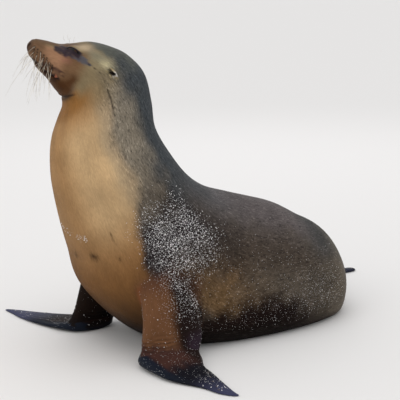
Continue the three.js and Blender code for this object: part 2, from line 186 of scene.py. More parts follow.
def toe_tables(rows, toes):
    """A table for each toe flap of a hind flipper."""
    x, y, _, width, _, plan, _ = rows[-2]
    a = math.radians(plan)
    tables = []
    for across, length, half, splay in toes:
        root = (x + across * (width - 0.8 * half) * math.cos(a),
                y + across * (width - 0.8 * half) * math.sin(a))
        heading = a + math.pi / 2 + math.radians(splay)
        table = []
        for k, (reach, size, thick) in enumerate(
                [(-18, 0.9, 7), (10, 1, 7), (0.55, 1.05, 6), (0.85, 0.9, 5), (1, 0.45, 3.4)]):
            out = reach if k < 2 else 22 + reach * length
            table.append([root[0] + out * math.cos(heading), root[1] + out * math.sin(heading),
                          0.8 * thick, half * size, thick, math.degrees(heading) - 90, 2.2])
        tables.append(table)
    return tables


# Every length of flesh: its surface function, how many sections, how far the fur stands on it.
FLESH = {"body": (body_surface, len(BODY) - 1, COAT_DEPTH)}
for limb_name, limb_rows, limb_coat in (
        ("foreleg_left", FORELEG_LEFT, 1.0), ("foreleg_right", FORELEG_RIGHT, 1.0),
        ("foreflipper_left", FOREFLIPPER_LEFT, 0.3), ("foreflipper_right", FOREFLIPPER_RIGHT, 0.3),
        ("hind_left", HIND_LEFT, 0.4), ("hind_right", HIND_RIGHT, 0.4), ("tail", TAIL, 0.6)):
    FLESH[limb_name] = (lambda t, a, inset, rows=limb_rows: limb_surface(rows, t, a, inset),
                        len(limb_rows) - 1, limb_coat)
for foot_name, foot_rows, foot_toes in (("hind_left", HIND_LEFT, TOES_LEFT),
                                        ("hind_right", HIND_RIGHT, TOES_RIGHT)):
    for toe_count, toe_rows in enumerate(toe_tables(foot_rows, foot_toes)):
        FLESH[f"{foot_name}_toe_{toe_count}"] = (
            lambda t, a, inset, rows=toe_rows: limb_surface(rows, t, a, inset), 4, 0.2)


def rings(name, count, sides):
    surface, last, coat = FLESH[name]
    t, a = np.meshgrid(np.linspace(0, last, count),
                       np.linspace(0, 2 * math.pi, sides, endpoint=False), indexing="ij")
    place = surface(t, a, coat)
    place[..., 2] = np.maximum(place[..., 2], FLOOR_GAP * MM)
    return place


# ---------------------------------------------------------------- mesh tools
def new_object(name, mesh):
    piece = bpy.data.objects.new(name, mesh)
    bpy.context.scene.collection.objects.link(piece)
    return piece


def closed_tubes(name, tubes):
    """One mesh of closed tubes, each given as (rings, sides, 3) points."""
    points, faces, start = [], [], 0
    for tube in tubes:
        count, sides = tube.shape[:2]
        k = np.arange(count * sides).reshape(count, sides)
        right = np.roll(k, -1, 1)
        quads = np.stack([k[:-1], k[1:], right[1:], right[:-1]], -1).reshape(-1, 4)
        points.append(tube.reshape(-1, 3))
        faces += (quads + start).tolist()
        faces.append((k[0] + start).tolist())
        faces.append((k[-1][::-1] + start).tolist())
        start += count * sides
    mesh = bpy.data.meshes.new(name)
    mesh.from_pydata(np.concatenate(points).tolist(), [], faces)
    shape = bmesh.new()
    shape.from_mesh(mesh)
    bmesh.ops.recalc_face_normals(shape, faces=shape.faces)
    shape.to_mesh(mesh)
    shape.free()
    return mesh


def places(mesh):
    out = np.empty(len(mesh.vertices) * 3)
    mesh.vertices.foreach_get("co", out)
    return out.reshape(-1, 3)


def normals(mesh):
    out = np.empty(len(mesh.vertices) * 3)
    mesh.vertex_normals.foreach_get("vector", out)
    return out.reshape(-1, 3)


def move(mesh, place):
    mesh.vertices.foreach_set("co", np.ascontiguousarray(place).ravel())
    mesh.update()


def smooth(mesh, weight, steps, keep=0.0):
    """Evens the surface by weight (one number a vertex); keep near 1 holds its bulk."""
    pairs = np.empty(len(mesh.edges) * 2, int)
    mesh.edges.foreach_get("vertices", pairs)
    a, b = pairs.reshape(-1, 2).T
    ends, others = np.concatenate([a, b]), np.concatenate([b, a])
    place = places(mesh)
    count = np.bincount(ends, minlength=len(place)).clip(1)
    for _ in range(steps):
        for push in (0.5, -0.52 * keep):
            if push:
                mean = np.stack([np.bincount(ends, place[others, k], len(place))
                                 for k in range(3)], -1) / count[:, None]
                place = place + (mean - place) * (push * weight)[:, None]
    move(mesh, place)


def finished_mesh(piece):
    """A piece's mesh after its modifiers; the piece itself is taken away."""
    graph = bpy.context.evaluated_depsgraph_get()
    out = bpy.data.meshes.new_from_object(piece.evaluated_get(graph))
    bpy.data.objects.remove(piece)
    return out


def with_modifier(mesh, kind, **settings):
    """The mesh after one modifier, as a plain mesh."""
    piece = new_object("work", mesh)
    modifier = piece.modifiers.new(kind, kind)
    for key, value in settings.items():
        setattr(modifier, key, value)
    return finished_mesh(piece)


def refine(mesh, chosen):
    """Halves the faces whose corners are all chosen."""
    shape = bmesh.new()
    shape.from_mesh(mesh)
    edges = [e for e in shape.edges if chosen[e.verts[0].index] and chosen[e.verts[1].index]]
    bmesh.ops.subdivide_edges(shape, edges=edges, cuts=1, use_grid_fill=True)
    shape.to_mesh(mesh)
    shape.free()


# ---------------------------------------------------------------- places on the animal
def nearest(name, place, count=240, sides=96):
    """For each place: t and angle on that part of the flesh, and the distance to it."""
    surface, last, coat = FLESH[name]
    t, a = np.meshgrid(np.linspace(0, last, count),
                       np.linspace(0, 2 * math.pi, sides, endpoint=False), indexing="ij")
    t, a = t.ravel(), a.ravel()
    points = surface(t, a, coat)
    tree = kdtree.KDTree(len(points))
    for i, p in enumerate(points):
        tree.insert(p, i)
    tree.balance()
    found = [tree.find(p)[1:] for p in place]
    hit = np.array([f[0] for f in found])
    t, a = t[hit], a[hit]
    for _ in range(2):
        here = surface(t, a, coat)
        step = 1e-3
        side_t = np.where(t + step > last, -step, step)
        dt = (surface(t + side_t, a, coat) - here) / side_t[:, None]
        da = (surface(t, a + step, coat) - here) / step
        off = place - here
        tt, aa, ta = (dt * dt).sum(-1), (da * da).sum(-1), (dt * da).sum(-1)
        ot, oa = (off * dt).sum(-1), (off * da).sum(-1)
        det = (tt * aa - ta * ta).clip(1e-12)
        t = np.clip(t + np.clip((ot * aa - oa * ta) / det, -0.5, 0.5), 0, last)
        a = a + np.clip((oa * tt - ot * ta) / det, -0.1, 0.1)
    return t, a, np.linalg.norm(place - surface(t, a, coat), axis=-1)


def head_place(place):
    """Places in the head's own directions, before its turn, in table millimetres."""
    p = place / MM + ORIGIN
    turn = math.radians(HEAD_TURN)
    y = p[:, 1] - HEAD_PIVOT_Y
    return np.stack([p[:, 0] * math.cos(turn) - y * math.sin(turn),
                     HEAD_PIVOT_Y + p[:, 0] * math.sin(turn) + y * math.cos(turn), p[:, 2]], -1)


def head_to_frame(p):
    """The other way: from the head's own directions to the frame, in metres."""
    p = np.asarray(p, float)
    turn = math.radians(HEAD_TURN)
    y = p[..., 1] - HEAD_PIVOT_Y
    place = np.stack([p[..., 0] * math.cos(turn) + y * math.sin(turn),
                      HEAD_PIVOT_Y - p[..., 0] * math.sin(turn) + y * math.cos(turn),
                      p[..., 2]], -1)
    return (place - ORIGIN) * MM


def to_line(p, line):
    """Distance of points to a line of several stretches, where along it, and on which side."""
    line = np.asarray(line, float)
    best = np.full(len(p), 1e9)
    along, side = np.zeros(len(p)), np.zeros(len(p))
    for i, (a, b) in enumerate(zip(line[:-1], line[1:])):
        d = b - a
        f = np.clip(((p - a) @ d) / (d @ d), 0, 1)
        off = p - (a + f[:, None] * d)
        dist = np.linalg.norm(off, axis=-1)
        closer = dist < best
        best = np.where(closer, dist, best)
        along = np.where(closer, (i + f) / (len(line) - 1), along)
        if line.shape[1] == 2:
            side = np.where(closer, np.sign(d[0] * off[:, 1] - d[1] * off[:, 0]), side)
    return best, along, side


def bell(distance, width):
    return np.exp(-(distance / width) ** 2)


def fade(value, start, end):
    """0 at start, 1 at end, smooth between."""
    f = np.clip((value - start) / (end - start), 0, 1)
    return f * f * (3 - 2 * f)


# ---------------------------------------------------------------- the skin's shape
# Lines on the head seen from its side: (y, z) in table millimetres.
LIPS = [(-408, 706), (-402, 701), (-397, 696.5), (-377, 676), (-362, 665), (-348, 656)]
THROAT_FOLD = [(-340, 604), (-331, 610.5), (-319, 617.5), (-306, 624)]
TEMPLE_CREASE = [(-283, 692), (-272, 684), (-262, 677), (-252, 667), (-246, 655)]
NECK_CREASE = [(-243, 636), (-241, 630), (-235, 610), (-230, 576), (-229, 560)]
NOSTRIL = [(2.8, 722.5), (5.6, 728.5), (10.0, 734.5)]          # seen from the front: (x, z)
EYEBALL_CENTRE = np.array([33.2, -309.2, 711.2])
EYEBALL_RADIUS = 18.0
LID_RADIUS = 19.5
SLIT_FRONT = np.array([36.5, -323.5, 725.0])
SLIT_BACK = np.array([53.5, -299.0, 713.5])
SLIT_MIDDLE = (SLIT_FRONT + SLIT_BACK) / 2
SLIT_ALONG = (SLIT_BACK - SLIT_FRONT) / np.linalg.norm(SLIT_BACK - SLIT_FRONT)
SLIT_OUT = SLIT_MIDDLE - EYEBALL_CENTRE
SLIT_OUT -= SLIT_ALONG * (SLIT_OUT @ SLIT_ALONG)
SLIT_OUT /= np.linalg.norm(SLIT_OUT)
SLIT_UP = np.cross(SLIT_ALONG, SLIT_OUT)
SLIT_UP *= np.sign(SLIT_UP[2])


def mirrored(h):
    """The head's places with both sides laid on the left one."""
    return np.concatenate([np.abs(h[:, :1]), h[:, 1:]], 1)


def slit_place(h):
    """Along the eye's slit, above it, and how far a point is from the eyeball's centre."""
    s = mirrored(h) - SLIT_MIDDLE
    along, above = s @ SLIT_ALONG, s @ SLIT_UP
    above = above - 1.2 * (1 - (along / 16) ** 2)
    return along, above, np.linalg.norm(mirrored(h) - EYEBALL_CENTRE, axis=-1)


def flesh_places(place, reach=30):
    """The nearest length of flesh for each place, t and angle on it, and how near the next is."""
    names = list(FLESH)
    t, a, best = nearest("body", place)
    owner = np.zeros(len(place), int)
    second = np.full(len(place), 1e9)
    for k, name in enumerate(names[1:], 1):
        box = rings(name, 12, 12).reshape(-1, 3)
        low, high = box.min(0) - reach * MM, box.max(0) + reach * MM
        inside = np.flatnonzero(((place > low) & (place < high)).all(-1))
        if not len(inside):
            continue
        t1, a1, d1 = nearest(name, place[inside], 60, 40)
        closer = d1 < best[inside]
        toe = "toe" in name
        if not toe:
            second[inside] = np.where(closer, best[inside], np.minimum(second[inside], d1))
        won = inside[closer]
        t[won], a[won], best[won], owner[won] = t1[closer], a1[closer], d1[closer], k
    return owner, t, a, best, second


def rough_skin():
    tubes = [rings("body", 420, 160)]
    tubes += [rings(name, 70, 56) for name in FLESH if name != "body"]
    mesh = closed_tubes("skin", tubes)
    mesh = with_modifier(mesh, "REMESH", mode="VOXEL", voxel_size=VOXEL)
    smooth(mesh, np.full(len(mesh.vertices), 1.0), 3, keep=1.0)
    place = places(mesh)
    owner, _, _, _, second = flesh_places(place)
    fleshy = np.isin(owner, [0, 1, 2])
    smooth(mesh, np.where(fleshy, 1.0, 0.25), 8, keep=1.0)
    joint = bell(second / MM, 16) * (place[:, 2] > 8 * MM)
    smooth(mesh, joint, 60)
    return mesh


def sculpt_head(mesh):
    place, out = places(mesh), normals(mesh)
    h = head_place(place)
    s = mirrored(h)
    side = s[:, 1:]
    grow = np.zeros(len(h))

    lip, lip_along, lip_side = to_line(side, LIPS)
    shut = fade(lip_along, 1.0, 0.86)
    grow -= 3.2 * bell(lip, 1.9) * (0.25 + 0.75 * shut)
    grow += 1.1 * bell(np.where(lip_side > 0, lip, 99) - 7, 5) * shut
    grow += 0.7 * bell(np.where(lip_side < 0, lip, 99) - 5, 4) * shut
    pad = np.linalg.norm((s - [29, -390, 706]) / [14, 15, 15], axis=-1)
    grow += 1.8 * bell(pad, 1.0)

    front = fade(h[:, 1], -392, -399)
    grow -= 1.2 * bell(h[:, 0], 1.4) * fade(h[:, 2], 702, 706) * fade(h[:, 2], 724, 719) * front
    nostril = to_line(s[:, [0, 2]], NOSTRIL)[0]
    grow -= 4.2 * bell(nostril, 1.55) * front * fade(h[:, 1], -394, -399)
    grow += 0.9 * bell(nostril - 3.6, 1.6) * front
    nose_edge, _, _ = to_line(side, [(-389, 748), (-396, 735), (-400.5, 724), (-404, 719)])
    grow -= 0.7 * bell(nose_edge, 1.6)

    fold, fold_along, fold_side = to_line(side, THROAT_FOLD)
    grow -= 4.5 * bell(fold, 3.2) * fade(fold_along, 1.0, 0.55)
    grow += 1.6 * bell(np.where(fold_side > 0, fold, 99) - 8, 6) * fade(fold_along, 1.0, 0.6)
    crease, crease_along, _ = to_line(side, TEMPLE_CREASE)
    grow -= 1.0 * bell(crease, 1.7) * fade(crease_along, 0, 0.15) * fade(crease_along, 0.8, 0.6)
    neck, neck_along, _ = to_line(side, NECK_CREASE)
    grow -= 2.6 * bell(neck, 2.4) * fade(neck_along, 0, 0.1) * fade(neck_along, 1, 0.6)
    grow += 0.9 * bell(neck - 7, 5) * fade(neck_along, 0, 0.1) * fade(neck_along, 1, 0.6)

    # rows of small pits where the whiskers grow
    for pit in WHISKER_ROOTS:
        grow -= 0.9 * bell(np.linalg.norm(s - pit, axis=-1), 1.3)

    place = place + out * (grow * MM)[:, None]
    move(mesh, place)

    # lids over the eyeball
    h = head_place(place)
    along, above, radius = slit_place(h)
    centre = np.where(h[:, :1] > 0, 1, -1) * [1, 0, 0] * EYEBALL_CENTRE + [0, 1, 1] * EYEBALL_CENTRE
    from_eye = h - centre
    away = from_eye / np.linalg.norm(from_eye, axis=-1, keepdims=True)
    round_eye = radius < 34
    dome = LID_RADIUS + 0 * radius
    dome -= 0.9 * bell(np.abs(above - 7.5), 1.3) * fade(np.abs(along), 15, 8)
    dome -= 0.8 * bell(np.abs(above + 6.5), 1.4) * fade(np.abs(along), 15, 8)
    soft = 1.6
    covered = soft * np.log(np.exp((radius - dome).clip(-40, 40) / soft) + 1) + dome
    opening = 1.7 * np.clip(1 - (along / 15) ** 2, 0, 1) ** 0.6
    inner = (EYEBALL_RADIUS - 1.6) + np.zeros_like(radius)
    margin = fade(np.abs(above), opening + 0.45, opening - 0.1) * (opening > 0.2)
    crack = 1.6 * bell(above, 1.0) * fade(np.abs(along), 19, 14)
    lidded = np.where(round_eye, covered - crack, radius)
    lidded = lidded + (inner - lidded) * margin * round_eye
    h = np.where(round_eye[:, None], centre + away * lidded[:, None], h)
    move(mesh, head_to_frame(h))


PIT_PLACES = []          # (y, z) of the pits the whiskers grow from
for row in range(5):
    for k in range(7 if row < 4 else 5):
        # rows run back along the pad, the lowest just above the lip
        y = -398.5 + 6.2 * k + 0.9 * row
        z = 703.5 - 6.1 * k + 6.3 * row + 0.25 * k * (4 - row)
        PIT_PLACES.append((y, z))


def whisker_roots():
    """Roots of the whiskers on the left pad, put on the head's surface."""
    found = []
    t, a = np.meshgrid(np.linspace(0.1, 3.2, 160), np.radians(np.linspace(-75, 60, 160)))
    points = head_place(body_surface(t.ravel(), a.ravel(), COAT_DEPTH))
    for y, z in PIT_PLACES:
        miss = np.hypot(points[:, 1] - y, points[:, 2] - z)
        found.append(points[np.argmin(miss)])
    return np.array(found)


WHISKER_ROOTS = whisker_roots()


def sculpt_limbs(mesh):
    place, out = places(mesh), normals(mesh)
    owner, t, a, _, _ = flesh_places(place)
    names = list(FLESH)
    grow = np.zeros(len(place))
    for name in ("foreleg_left", "foreleg_right"):
        on = owner == names.index(name)
        wave = 0.05 * np.sin(5 * a) + 0.03 * np.sin(11 * a + 1)
        for at, deep in ((3.75, 0.8), (4.02, 1.4), (4.25, 1.6), (4.45, 1.2), (4.68, 0.8)):
            grow -= on * deep * bell(t + wave - at, 0.055)
    for name in ("foreflipper_left", "foreflipper_right"):
        on = owner == names.index(name)
        top = fade(np.sin(a) * UP_SIDE[name], 0.1, 0.5) * fade(t, 2.2, 3.6) * fade(t, 8.6, 7.0)
        for lane in (-0.72, -0.38, -0.04, 0.3, 0.62):
            grow += on * top * 0.9 * bell(np.cos(a) - lane * (1 - 0.03 * t), 0.12)
        grow -= on * top * 0.35
    for name in ("hind_left", "hind_right"):
        on = owner == names.index(name)
        top = fade(np.sin(a), 0.1, 0.5) * fade(t, 2.6, 4.0)
        for lane in (-0.78, -0.4, 0, 0.4, 0.78):
            grow += on * top * 0.9 * bell(np.cos(a) - lane, 0.12)
    place = place + out * (grow * MM)[:, None]
    place[:, 2] = np.maximum(place[:, 2], FLOOR_GAP * MM)
    move(mesh, place)


def make_skin():
    mesh = rough_skin()
    h = head_place(places(mesh))
    refine(mesh, (h[:, 1] < -225) & (h[:, 2] > 590) & (np.abs(h[:, 0]) < 95))
    h = head_place(places(mesh))
    _, _, radius = slit_place(h)
    refine(mesh, ((h[:, 1] < -366) | (radius < 27)) & (h[:, 2] > 640))
    h = head_place(places(mesh))
    smooth(mesh, fade(h[:, 1], -225, -235) * fade(h[:, 2], 590, 600), 10, keep=1.0)
    along, above, radius = slit_place(h)
    refine(mesh, (np.abs(along) < 19) & (np.abs(above) < 6) & (radius < 30))
    sculpt_head(mesh)
    sculpt_limbs(mesh)
    mesh = thinned(mesh)
    for side in (1, -1):
        mesh = joined(mesh, ear_mesh(side))
    settle_ears(mesh)
    mesh.polygons.foreach_set("use_smooth", np.ones(len(mesh.polygons), bool))
    return mesh


def thinned(mesh):
    """Fewer triangles where the skin is plain; eyes, nose and lips keep theirs."""
    h = head_place(places(mesh))
    _, _, radius = slit_place(h)
    side = mirrored(h)[:, 1:]
    lip, _, _ = to_line(side, LIPS)
    fine = ((radius < 25) & (h[:, 2] > 690)) | (h[:, 1] < -394) | ((lip < 3) & (h[:, 1] < -340))
    piece = new_object("work", mesh)
    group = piece.vertex_groups.new(name="plain")
    group.add(np.flatnonzero(~fine).tolist(), 1.0, "REPLACE")
    piece.modifiers.new("cut", "TRIANGULATE")
    fewer = piece.modifiers.new("fewer", "DECIMATE")
    fewer.ratio = SKIN_TRIANGLES / sum(len(p.vertices) - 2 for p in mesh.polygons)
    fewer.vertex_group = "plain"
    return finished_mesh(piece)


def ear_mesh(side):
    """A small rolled ear, open along its outer side and closed at the tip."""
    along = EAR_TIP - EAR_BASE
    length = np.linalg.norm(along)
    along = along / length
    out = np.array([1.0, 0.0, 0.0]) - along * along[0]
    out /= np.linalg.norm(out)
    up = np.cross(along, out) * -1
    arc = np.linspace(0, 1, 22)
    tube = []
    for at in np.concatenate([[-0.22], np.linspace(0, 1, 20)]):
        swell = EAR_RADIUS * (0.62 + 0.42 * math.sin(math.pi * min(1, 0.15 + 0.85 * max(at, 0))))
        radius = swell * (1 - max(at, 0) ** 3.2) ** 0.8 + 0.5
        wall = min(1.7, 0.45 * radius)
        gap = math.radians(62 * (1 - 0.6 * max(at, 0)) if at > 0.02 else 20)
        aim = math.radians(-38 + 20 * at)
        outer = aim + gap + arc * (2 * math.pi - 2 * gap)
        centre = EAR_BASE + along * (length * at) + up * (1.6 * math.sin(math.pi * max(at, 0)))
        ring = [centre + (out * math.cos(b) * 0.8 + up * math.sin(b)) * radius for b in outer]
        ring += [centre + (out * math.cos(b) * 0.8 + up * math.sin(b)) * (radius - wall)
                 for b in outer[::-1]]
        tube.append(ring)
    tube = np.array(tube)
    tube[..., 0] *= side
    mesh = closed_tubes("ear", [head_to_frame(tube)])
    return with_modifier(mesh, "TRIANGULATE")


def joined(mesh, other):
    """The union of two closed meshes."""
    piece, tool = new_object("work", mesh), new_object("tool", other)
    union = piece.modifiers.new("union", "BOOLEAN")
    union.operation, union.solver, union.object = "UNION", "MANIFOLD", tool
    piece.modifiers.new("cut", "TRIANGULATE")
    out = finished_mesh(piece)
    bpy.data.objects.remove(tool)
    return out


def ear_distance(h):
    """How far a place is from the ear's middle line, and how far along it."""
    return to_line(mirrored(h), [EAR_BASE, EAR_TIP])[:2]


def settle_ears(mesh):
    """A soft foot where each ear leaves the head."""
    h = head_place(places(mesh))
    smooth(mesh, 0.8 * bell(np.linalg.norm(mirrored(h) - EAR_BASE, axis=-1), 9), 6)


skin_mesh = make_skin()


# ---------------------------------------------------------------- markings, painted shade and painted highlights
def tone(red, green, blue):
    """A colour given as the eye reads it, 0 to 255, made linear."""
    c = np.array([red, green, blue]) / 255
    return np.where(c <= 0.04045, c / 12.92, ((c + 0.055) / 1.055) ** 2.4)


TAN = tone(158, 122, 82)
TAN_PALE = tone(179, 149, 110)
TAN_DEEP = tone(112, 78, 45)
NECK_PALE = tone(170, 152, 124)
THROAT_GOLD = tone(134, 92, 46)
SIDE_GREY = tone(124, 115, 101)
NAPE_GREY = tone(62, 66, 69)
SHOULDER_DARK = tone(44, 39, 40)
BACK_GREY = tone(91, 84, 83)
BACK_DARK = tone(60, 59, 58)
FLANK_BROWN = tone(82, 74, 65)
FLANK_DARK = tone(60, 50, 42)
FLANK_OLIVE = tone(102, 78, 50)
ANKLE = tone(54, 45, 41)
HAUNCH = tone(58, 51, 43)
HAUNCH_PALE = tone(112, 101, 86)
# the underside's dark fur, deepened by painted shade
UNDERSIDE = tone(22, 9, 5)
BELLY_DEEP = tone(14, 5, 2)
ARM_BROWN = tone(106, 72, 48)
ARM_DARK = tone(30, 18, 15)
ARM_SHADE = tone(14, 9, 8)
# painted shade for the crease where the arm meets the chest
ARM_CREASE_SHADE = tone(124, 72, 40)
ARM_TOP = tone(78, 51, 39)
# purple bare skin with a painted sheen
ARM_PURPLE_SKIN_AND_SHEEN = tone(44, 32, 42)
WRIST = tone(66, 42, 36)
SLATE = tone(15, 15, 23)
SLATE_STRIP = tone(20, 26, 38)
SLATE_PALE = tone(66, 68, 94)
MUZZLE_TOP = tone(98, 74, 54)
MUZZLE_SIDE = tone(154, 116, 88)
NOSE_DARK = tone(78, 60, 48)
CHIN_BROWN = tone(70, 42, 19)
CHEEK = tone(109, 82, 58)
JAW_OLIVE = tone(128, 112, 84)
BROW_PALE = tone(174, 154, 127)
TEMPLE_OCHRE = tone(190, 178, 142)
TEMPLE_OLIVE = tone(134, 126, 104)
CROWN_GREY = tone(86, 87, 80)
TEAR_PURPLE = tone(42, 29, 36)
TEAR_SLATE = tone(76, 76, 83)
LIP_DARK = tone(28, 18, 18)
LIP_BLOTCH = tone(54, 34, 34)
FLUSH_PINK = tone(138, 88, 78)
# dark lid margins, and painted shade in the eye's slit
LID_DARK_AND_SLIT_SHADE = tone(14, 10, 14)
LIP_PINK = tone(158, 96, 72)
# dark mottle for the whisker pads, and painted shade for folds, creases, nostrils, whisker pits and
# the ear's hollow
DARK_MOTTLE_AND_FOLD_SHADE = tone(40, 32, 26)
EAR_RIM = tone(158, 141, 106)
# painted highlight for the wet ear's tip
EAR_TIP_HIGHLIGHT = tone(214, 208, 198)

# Small dark marks on the chest: section, degrees round, how wide and how long.
CHEST_SPOTS = ((11.97, 266, 2.0, 0.05), (11.92, 290, 3.4, 0.07), (12.08, 315, 1.0, 0.03),
               (11.51, 318, 0.5, 0.15))

# How high round the body the golden front and the dark underside (partly painted shade) reach, by
# section, in degrees.
BOUNDARY = ([6.4, 7.3, 8.2, 9.3, 10.05, 10.6, 10.95, 11.4, 11.8, 12.5, 13.0, 13.4, 14.2, 16, 23],
            [0, -2, -5, -9, -7, -5, -8, -14, -21, -26, -28, -40, -66, -95, -95])
UNDERSIDE_EDGE = ([13.0, 13.6, 14.2, 15.0, 15.8, 16.4, 17.0, 18.0, 19.5],
                  [-30, -13, -3, 10, 14, 10, 0, -20, -50])


def wander(place, size, seed):
    """Soft random values from -1 to 1 that change over about the given size in metres."""
    rng = np.random.default_rng(seed)
    total = np.zeros(len(place))
    for _ in range(7):
        way = rng.normal(size=3)
        way /= np.linalg.norm(way)
        total += np.sin(place @ way * (2 * math.pi / (size * rng.uniform(0.7, 1.6)))
                        + rng.uniform(0, 6.28))
    return np.clip(total / 3.2, -1, 1)


# The wet mark that runs from the eye to the cheek: (y, z) on the head seen from its side.
TEAR_MARK = [(-346, 724), (-336, 721), (-322, 716), (-304, 708), (-290, 697), (-276, 688)]
# Between which sections a fore flipper's blade turns from dark slate to pale.
PALE_BLADE = {"foreflipper_left": (5.0, 7.4), "foreflipper_right": (3.4, 6.4)}
FAR = 40                 # mm; beyond this a place no longer counts as near a limb


class Canvas:
    """Places on the skin, where each lies on the animal, and the colour laid on it so far."""

    def __init__(self, place):
        self.place = place
        self.owner, self.limb_t, self.limb_a, best, _ = flesh_places(place, FAR)
        self.t, self.a, self.to_body = self.limb_t.copy(), self.limb_a.copy(), best.copy()
        outer = np.flatnonzero(self.owner != 0)
        self.t[outer], self.a[outer], self.to_body[outer] = nearest("body", place[outer])
        self.owners = np.array(list(FLESH), dtype=object)[self.owner]
        self.phi = np.degrees(np.arcsin(np.clip(np.sin(self.a), -1, 1)))
        self.head = head_place(place)
        self.near = mirrored(self.head)
        self.side = self.near[:, 1:]
        self.colour = np.zeros((len(place), 3))
        # soft random waves, from broad to as fine as specks
        self.w1, self.w2, self.w3 = (wander(place, 0.16, 1), wander(place, 0.07, 2),
                                     wander(place, 0.03, 3))
        self.w4, self.w5 = wander(place, 0.05, 21), wander(place, 0.009, 22)

    def mix(self, tint, amount):
        """Lays a tint over the colour so far, by an amount from 0 to 1 for each place."""
        self.colour = self.colour + (tint - self.colour) * np.clip(amount, 0, 1)[:, None]

    def lead_of(self, name):
        """How much nearer a place lies to this limb than to the trunk, in mm; -FAR far away."""
        place, reach = self.place, FAR / 1000
        low = rings(name, 12, 12).reshape(-1, 3)
        near = np.flatnonzero(
            ((place > low.min(0) - reach) & (place < low.max(0) + reach)).all(-1)
            & ((self.owner == 0) | (self.owners == name)))
        lead = np.full(len(place), -float(FAR))
        to_limb = nearest(name, place[near], 60, 40)[2]
        lead[near] = np.clip((self.to_body[near] - to_limb) / MM, -FAR, FAR)
        return lead


def paint_trunk(skin):
    """Dark above, golden below and in front, with painted shade low down and a painted sheen band;
    returns how golden each place is.
    """
    mix, t, phi = skin.mix, skin.t, skin.phi
    w1, w2, w3, w4 = skin.w1, skin.w2, skin.w3, skin.w4
    skin.colour[:] = FLANK_BROWN
    mix(BACK_GREY, fade(phi + 5 * w2, 24, 62))
    mix(FLANK_DARK, 0.7 * bell(phi - 33 - 6 * w1, 13) * fade(t, 12.6, 13.6) * fade(t, 18, 16))
    mix(SIDE_GREY, fade(t, 12.0, 9.8) * fade(t, 6.2, 7.4))
    mix(SHOULDER_DARK, fade(t + 0.3 * w2, 10.7, 12.3) * fade(t, 14.6, 13.0) * fade(phi, 52, 20))
    mix(NAPE_GREY, fade(t, 12.6, 11) * fade(t, 5.9, 6.8) * fade(phi + 7 * w2, 15, 42))
    mix(NAPE_GREY, 0.75 * fade(t, 14.4, 12) * fade(t, 10, 11.5) * fade(phi, 30, 60))
    mix(FLANK_DARK, 0.9 * bell(np.hypot((t - 13.85) / 0.75, (phi - 17) / 15), 1))
    olive = bell(np.hypot((t - 14.3 - 0.25 * w1) / 0.95, (phi + 1 + 4 * w2) / 14), 1)
    mix(FLANK_OLIVE, 0.9 * olive)
    mix(BACK_DARK, fade(phi, 20, 45) * fade(t, 15.8, 17.4))
    mix(HAUNCH, fade(t, 16.2, 17.6) * fade(phi, 36, 12))
    mix(HAUNCH_PALE, 0.62 * fade(t + 0.4 * w1, 16.8, 19.2) * fade(t, 21.0, 19.4)
        * fade(phi, -44, -10))
    mix(ANKLE, fade(t + 0.4 * w2, 19.8, 21.6))
    shade = np.interp(t, *UNDERSIDE_EDGE) + 4 * w2 + 2 * w3
    soft = 17 + 20 * fade(t, 15.8, 17.2)
    # the underside is dark fur darkened further by painted shade, deepest lowest down
    mix(UNDERSIDE, fade(phi, shade + 0.3 * (soft - 17), shade - soft) * fade(t, 12.9, 13.5))
    mix(BELLY_DEEP, fade(phi, shade - 14, shade - 17 - soft) * fade(t, 12.9, 13.5)
        * fade(t, 19, 17.5))
    boundary = np.interp(t, *BOUNDARY) + 2.0 * w2 + 1.2 * w3
    soft = np.interp(t, [7, 9, 10.3, 11.2, 12, 13.5], [12, 11, 13, 9, 5, 6])
    tan = fade(phi, boundary + soft, boundary - 0.8 * soft) * fade(t, 5.0, 6.2)
    # darker at the front's middle, paler at the sides: partly the coat's own colour, partly painted
    # shade
    golden = TAN + (TAN_PALE - TAN) * (fade(phi, -78, -38) * fade(t, 12.4, 10.8)
                                       * fade(t, 7.0, 8.4))[:, None]
    # painted sheen: a brighter band on the chest just below the tan's edge
    golden = golden * (1 + 0.16 * bell(phi - boundary + 15, 10) * fade(t, 8.6, 9.6)
                       * fade(t, 12.2, 11.4))[:, None]
    # darker low on the chest and into the underside: partly the coat's own colour, partly painted
    # shade
    golden = golden + (TAN_DEEP - golden) * fade(t, 10.8, 12.9)[:, None]
    golden = golden + (UNDERSIDE - golden) * (fade(t, 12.8, 13.9) * fade(phi, -30, -70))[:, None]
    golden = golden * (1 + 0.06 * w1 + 0.05 * w2)[:, None]
    skin.colour = skin.colour * (1 + 0.10 * w4 * fade(t, 12, 13.5))[:, None]
    skin.colour = skin.colour + (golden - skin.colour) * tan[:, None]
    mix(THROAT_GOLD, 0.9 * fade(t, 7.3, 6.2) * fade(t, 4.9, 5.5) * fade(phi, 4, -26))
    mix(NECK_PALE, 0.45 * bell(phi - boundary + 3, 8) * fade(t, 6.8, 7.6) * fade(t, 11.4, 10.4))
    return tan


